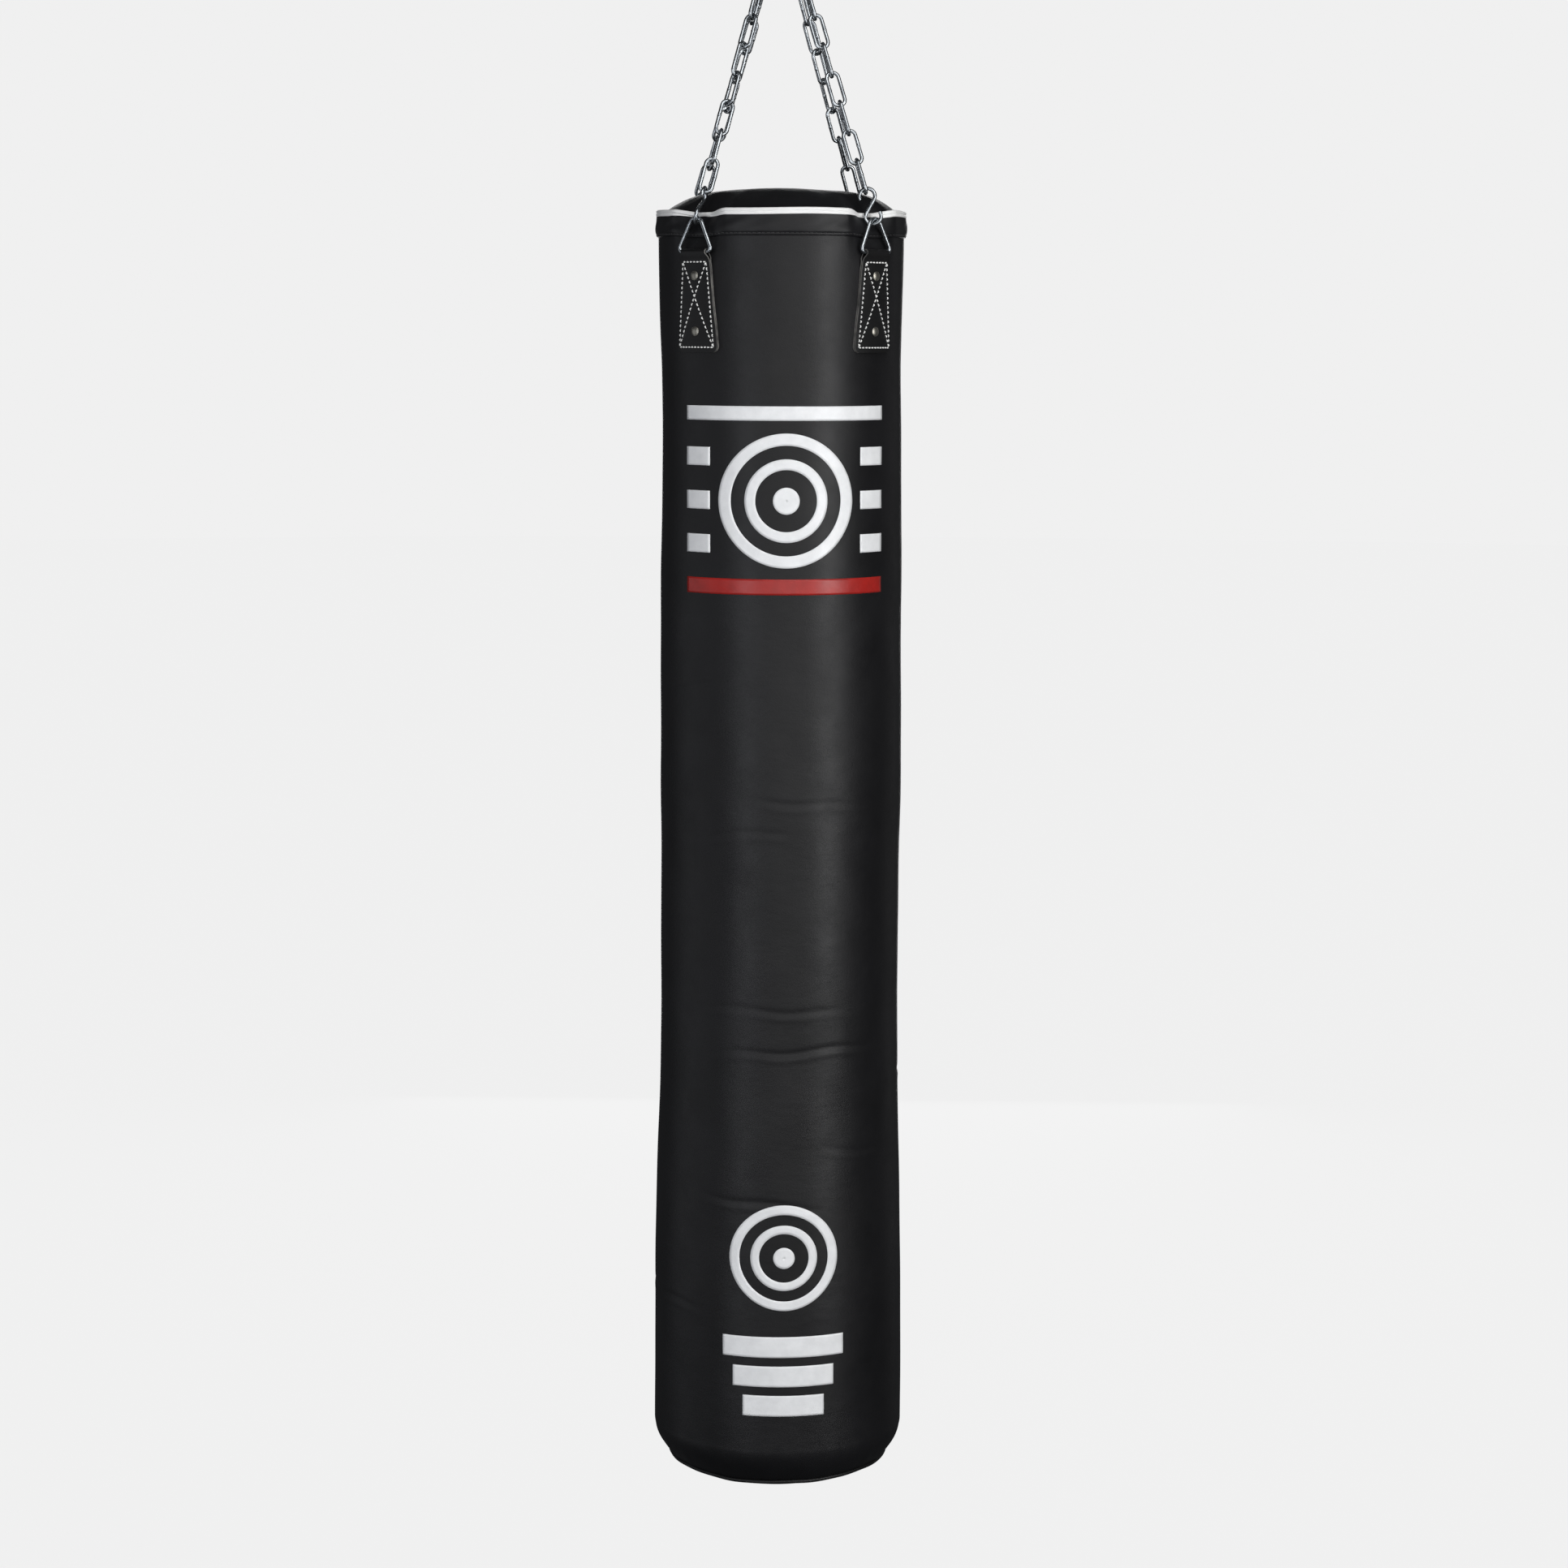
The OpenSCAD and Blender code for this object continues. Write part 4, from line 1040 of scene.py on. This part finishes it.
def make_prints():
    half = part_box("print_header_bar")[1].x
    for name, node, material in (("header_bar", "print_header_bar", "white_print"),
                                 ("accent_bar", "print_accent_stripe", "accent_print")):
        top, low = node_drops(node)
        make_print(name, [bar_patch(-half, half, top, low)], material, node)
    make_target("upper_target", "print_upper_target")
    make_target("lower_target", "print_lower_target")
    top, low = node_drops("print_side_bars")
    bars = []
    for side in (-1, 1):
        for row in range(3):
            start = top + (low - top - SIDE_BAR_H) * row / 2
            ends = sorted((side * SIDE_BAR_IN, side * half))
            bars.append(bar_patch(*ends, start, start + SIDE_BAR_H))
    make_print("flank_bars", bars, "white_print", "print_side_bars")
    top, low = node_drops("print_lower_bars")
    rows = [bar_patch(-w, w, top + LOWER_BAR_STEP * i, top + LOWER_BAR_STEP * i + LOWER_BAR_H)
            for i, w in enumerate(LOWER_BAR_HALVES)]
    make_print("lower_bars", rows, "white_print", "print_lower_bars")


# ---- Chain ---------------------------------------------------------------------


def loose_parts(obj):
    """The vertex clouds of an object's separate solids."""
    bm = bmesh.new()
    bm.from_mesh(obj.data)
    bmesh.ops.remove_doubles(bm, verts=bm.verts, dist=1e-6)
    seen, clouds = set(), []
    for start in bm.verts:
        if start.index in seen:
            continue
        stack, cloud = [start], []
        seen.add(start.index)
        while stack:
            v = stack.pop()
            cloud.append(tuple(v.co))
            for edge in v.link_edges:
                other = edge.other_vert(v)
                if other.index not in seen:
                    seen.add(other.index)
                    stack.append(other)
        clouds.append(np.array(cloud))
    bm.free()
    return clouds


LINK_WIRE, LINK_W, LINK_INNER = 0.0045, 0.019, 0.0378


def link_mesh():
    """A welded link in its own axes: length along Z, width along X. The weld is a low
    swelling half way up one leg."""
    bow_r = (LINK_W - LINK_WIRE) / 2
    bow_z = LINK_INNER / 2 + LINK_WIRE / 2 - bow_r
    path = []
    for i in range(25):
        t = math.pi * i / 24
        path.append((bow_r * math.cos(t), bow_z + bow_r * math.sin(t)))
    path += [(-bow_r, z) for z in np.linspace(bow_z, -bow_z, 14)[1:-1]]
    for i in range(25):
        t = math.pi + math.pi * i / 24
        path.append((bow_r * math.cos(t), -bow_z + bow_r * math.sin(t)))
    path += [(bow_r, z) for z in np.linspace(-bow_z, bow_z, 30)[1:-1]]
    path = np.array(path)
    ahead = np.roll(path, -1, 0) - np.roll(path, 1, 0)
    ahead /= np.linalg.norm(ahead, axis=1)[:, None]
    sides = 18
    rings = []
    for (x, z), (dx, dz) in zip(path, ahead):
        swell = 0.0
        if x > bow_r - 1e-6:
            swell = 0.00032 * math.exp(-((z / 0.0011) ** 2))
        radius = LINK_WIRE / 2 + swell
        ring = []
        for k in range(sides):
            t = TAU * k / sides
            ring.append((x + radius * math.cos(t) * dz, radius * math.sin(t),
                         z - radius * math.cos(t) * dx))
        rings.append(ring)
    return np.array(rings)


def make_chain(node):
    """Detailed links in the place of each of the chain's plain ones."""
    rings = link_mesh()
    count, sides = rings.shape[:2]
    verts, faces = [], []
    for k, cloud in enumerate(loose_parts(frame["nodes"][node])):
        centre = cloud.mean(0)
        spread = np.linalg.svd(cloud - centre, full_matrices=False)[2]
        along, across = spread[0], spread[1]
        if along[2] < 0:
            along = -along
        if k % 2:
            across = -across
        through = np.cross(along, across)
        basis = np.stack([across, through, along])
        base = len(verts)
        verts += list(rings.reshape(-1, 3) @ basis + centre)
        faces += grid_faces(count, sides, wrap_rows=True, start=base)
    chain = new_object("links_" + node, verts, faces, "zinc_steel")
    fix_normals(chain)
    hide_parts(node)


# ---- Carried-over pieces ---------------------------------------------------------


def dress_cad_nodes():
    """Gives each remaining CAD node the material of its slot."""
    slots = {s["node"]: s["material_slot"] for s in frame["record"]["subparts"]}
    for name, obj in frame["nodes"].items():
        obj.data.materials.clear()
        obj.data.materials.append(MATERIALS[slots[name]])


# ---- Build ---------------------------------------------------------------------

MATERIALS = make_materials()
make_camera()
make_world()
make_stage()
make_lights()
dress_cad_nodes()
make_wall()
make_foam()
make_hem()
make_hem_stitching()
make_piping()
make_cap()
make_bottom()
make_back_strip()
for corner, azimuth in STRAP_AZIMUTHS.items():
    make_strap(corner, azimuth)
    make_strap_stitching(corner, azimuth)
    make_chain("chain_" + corner)
make_rivets()
make_prints()
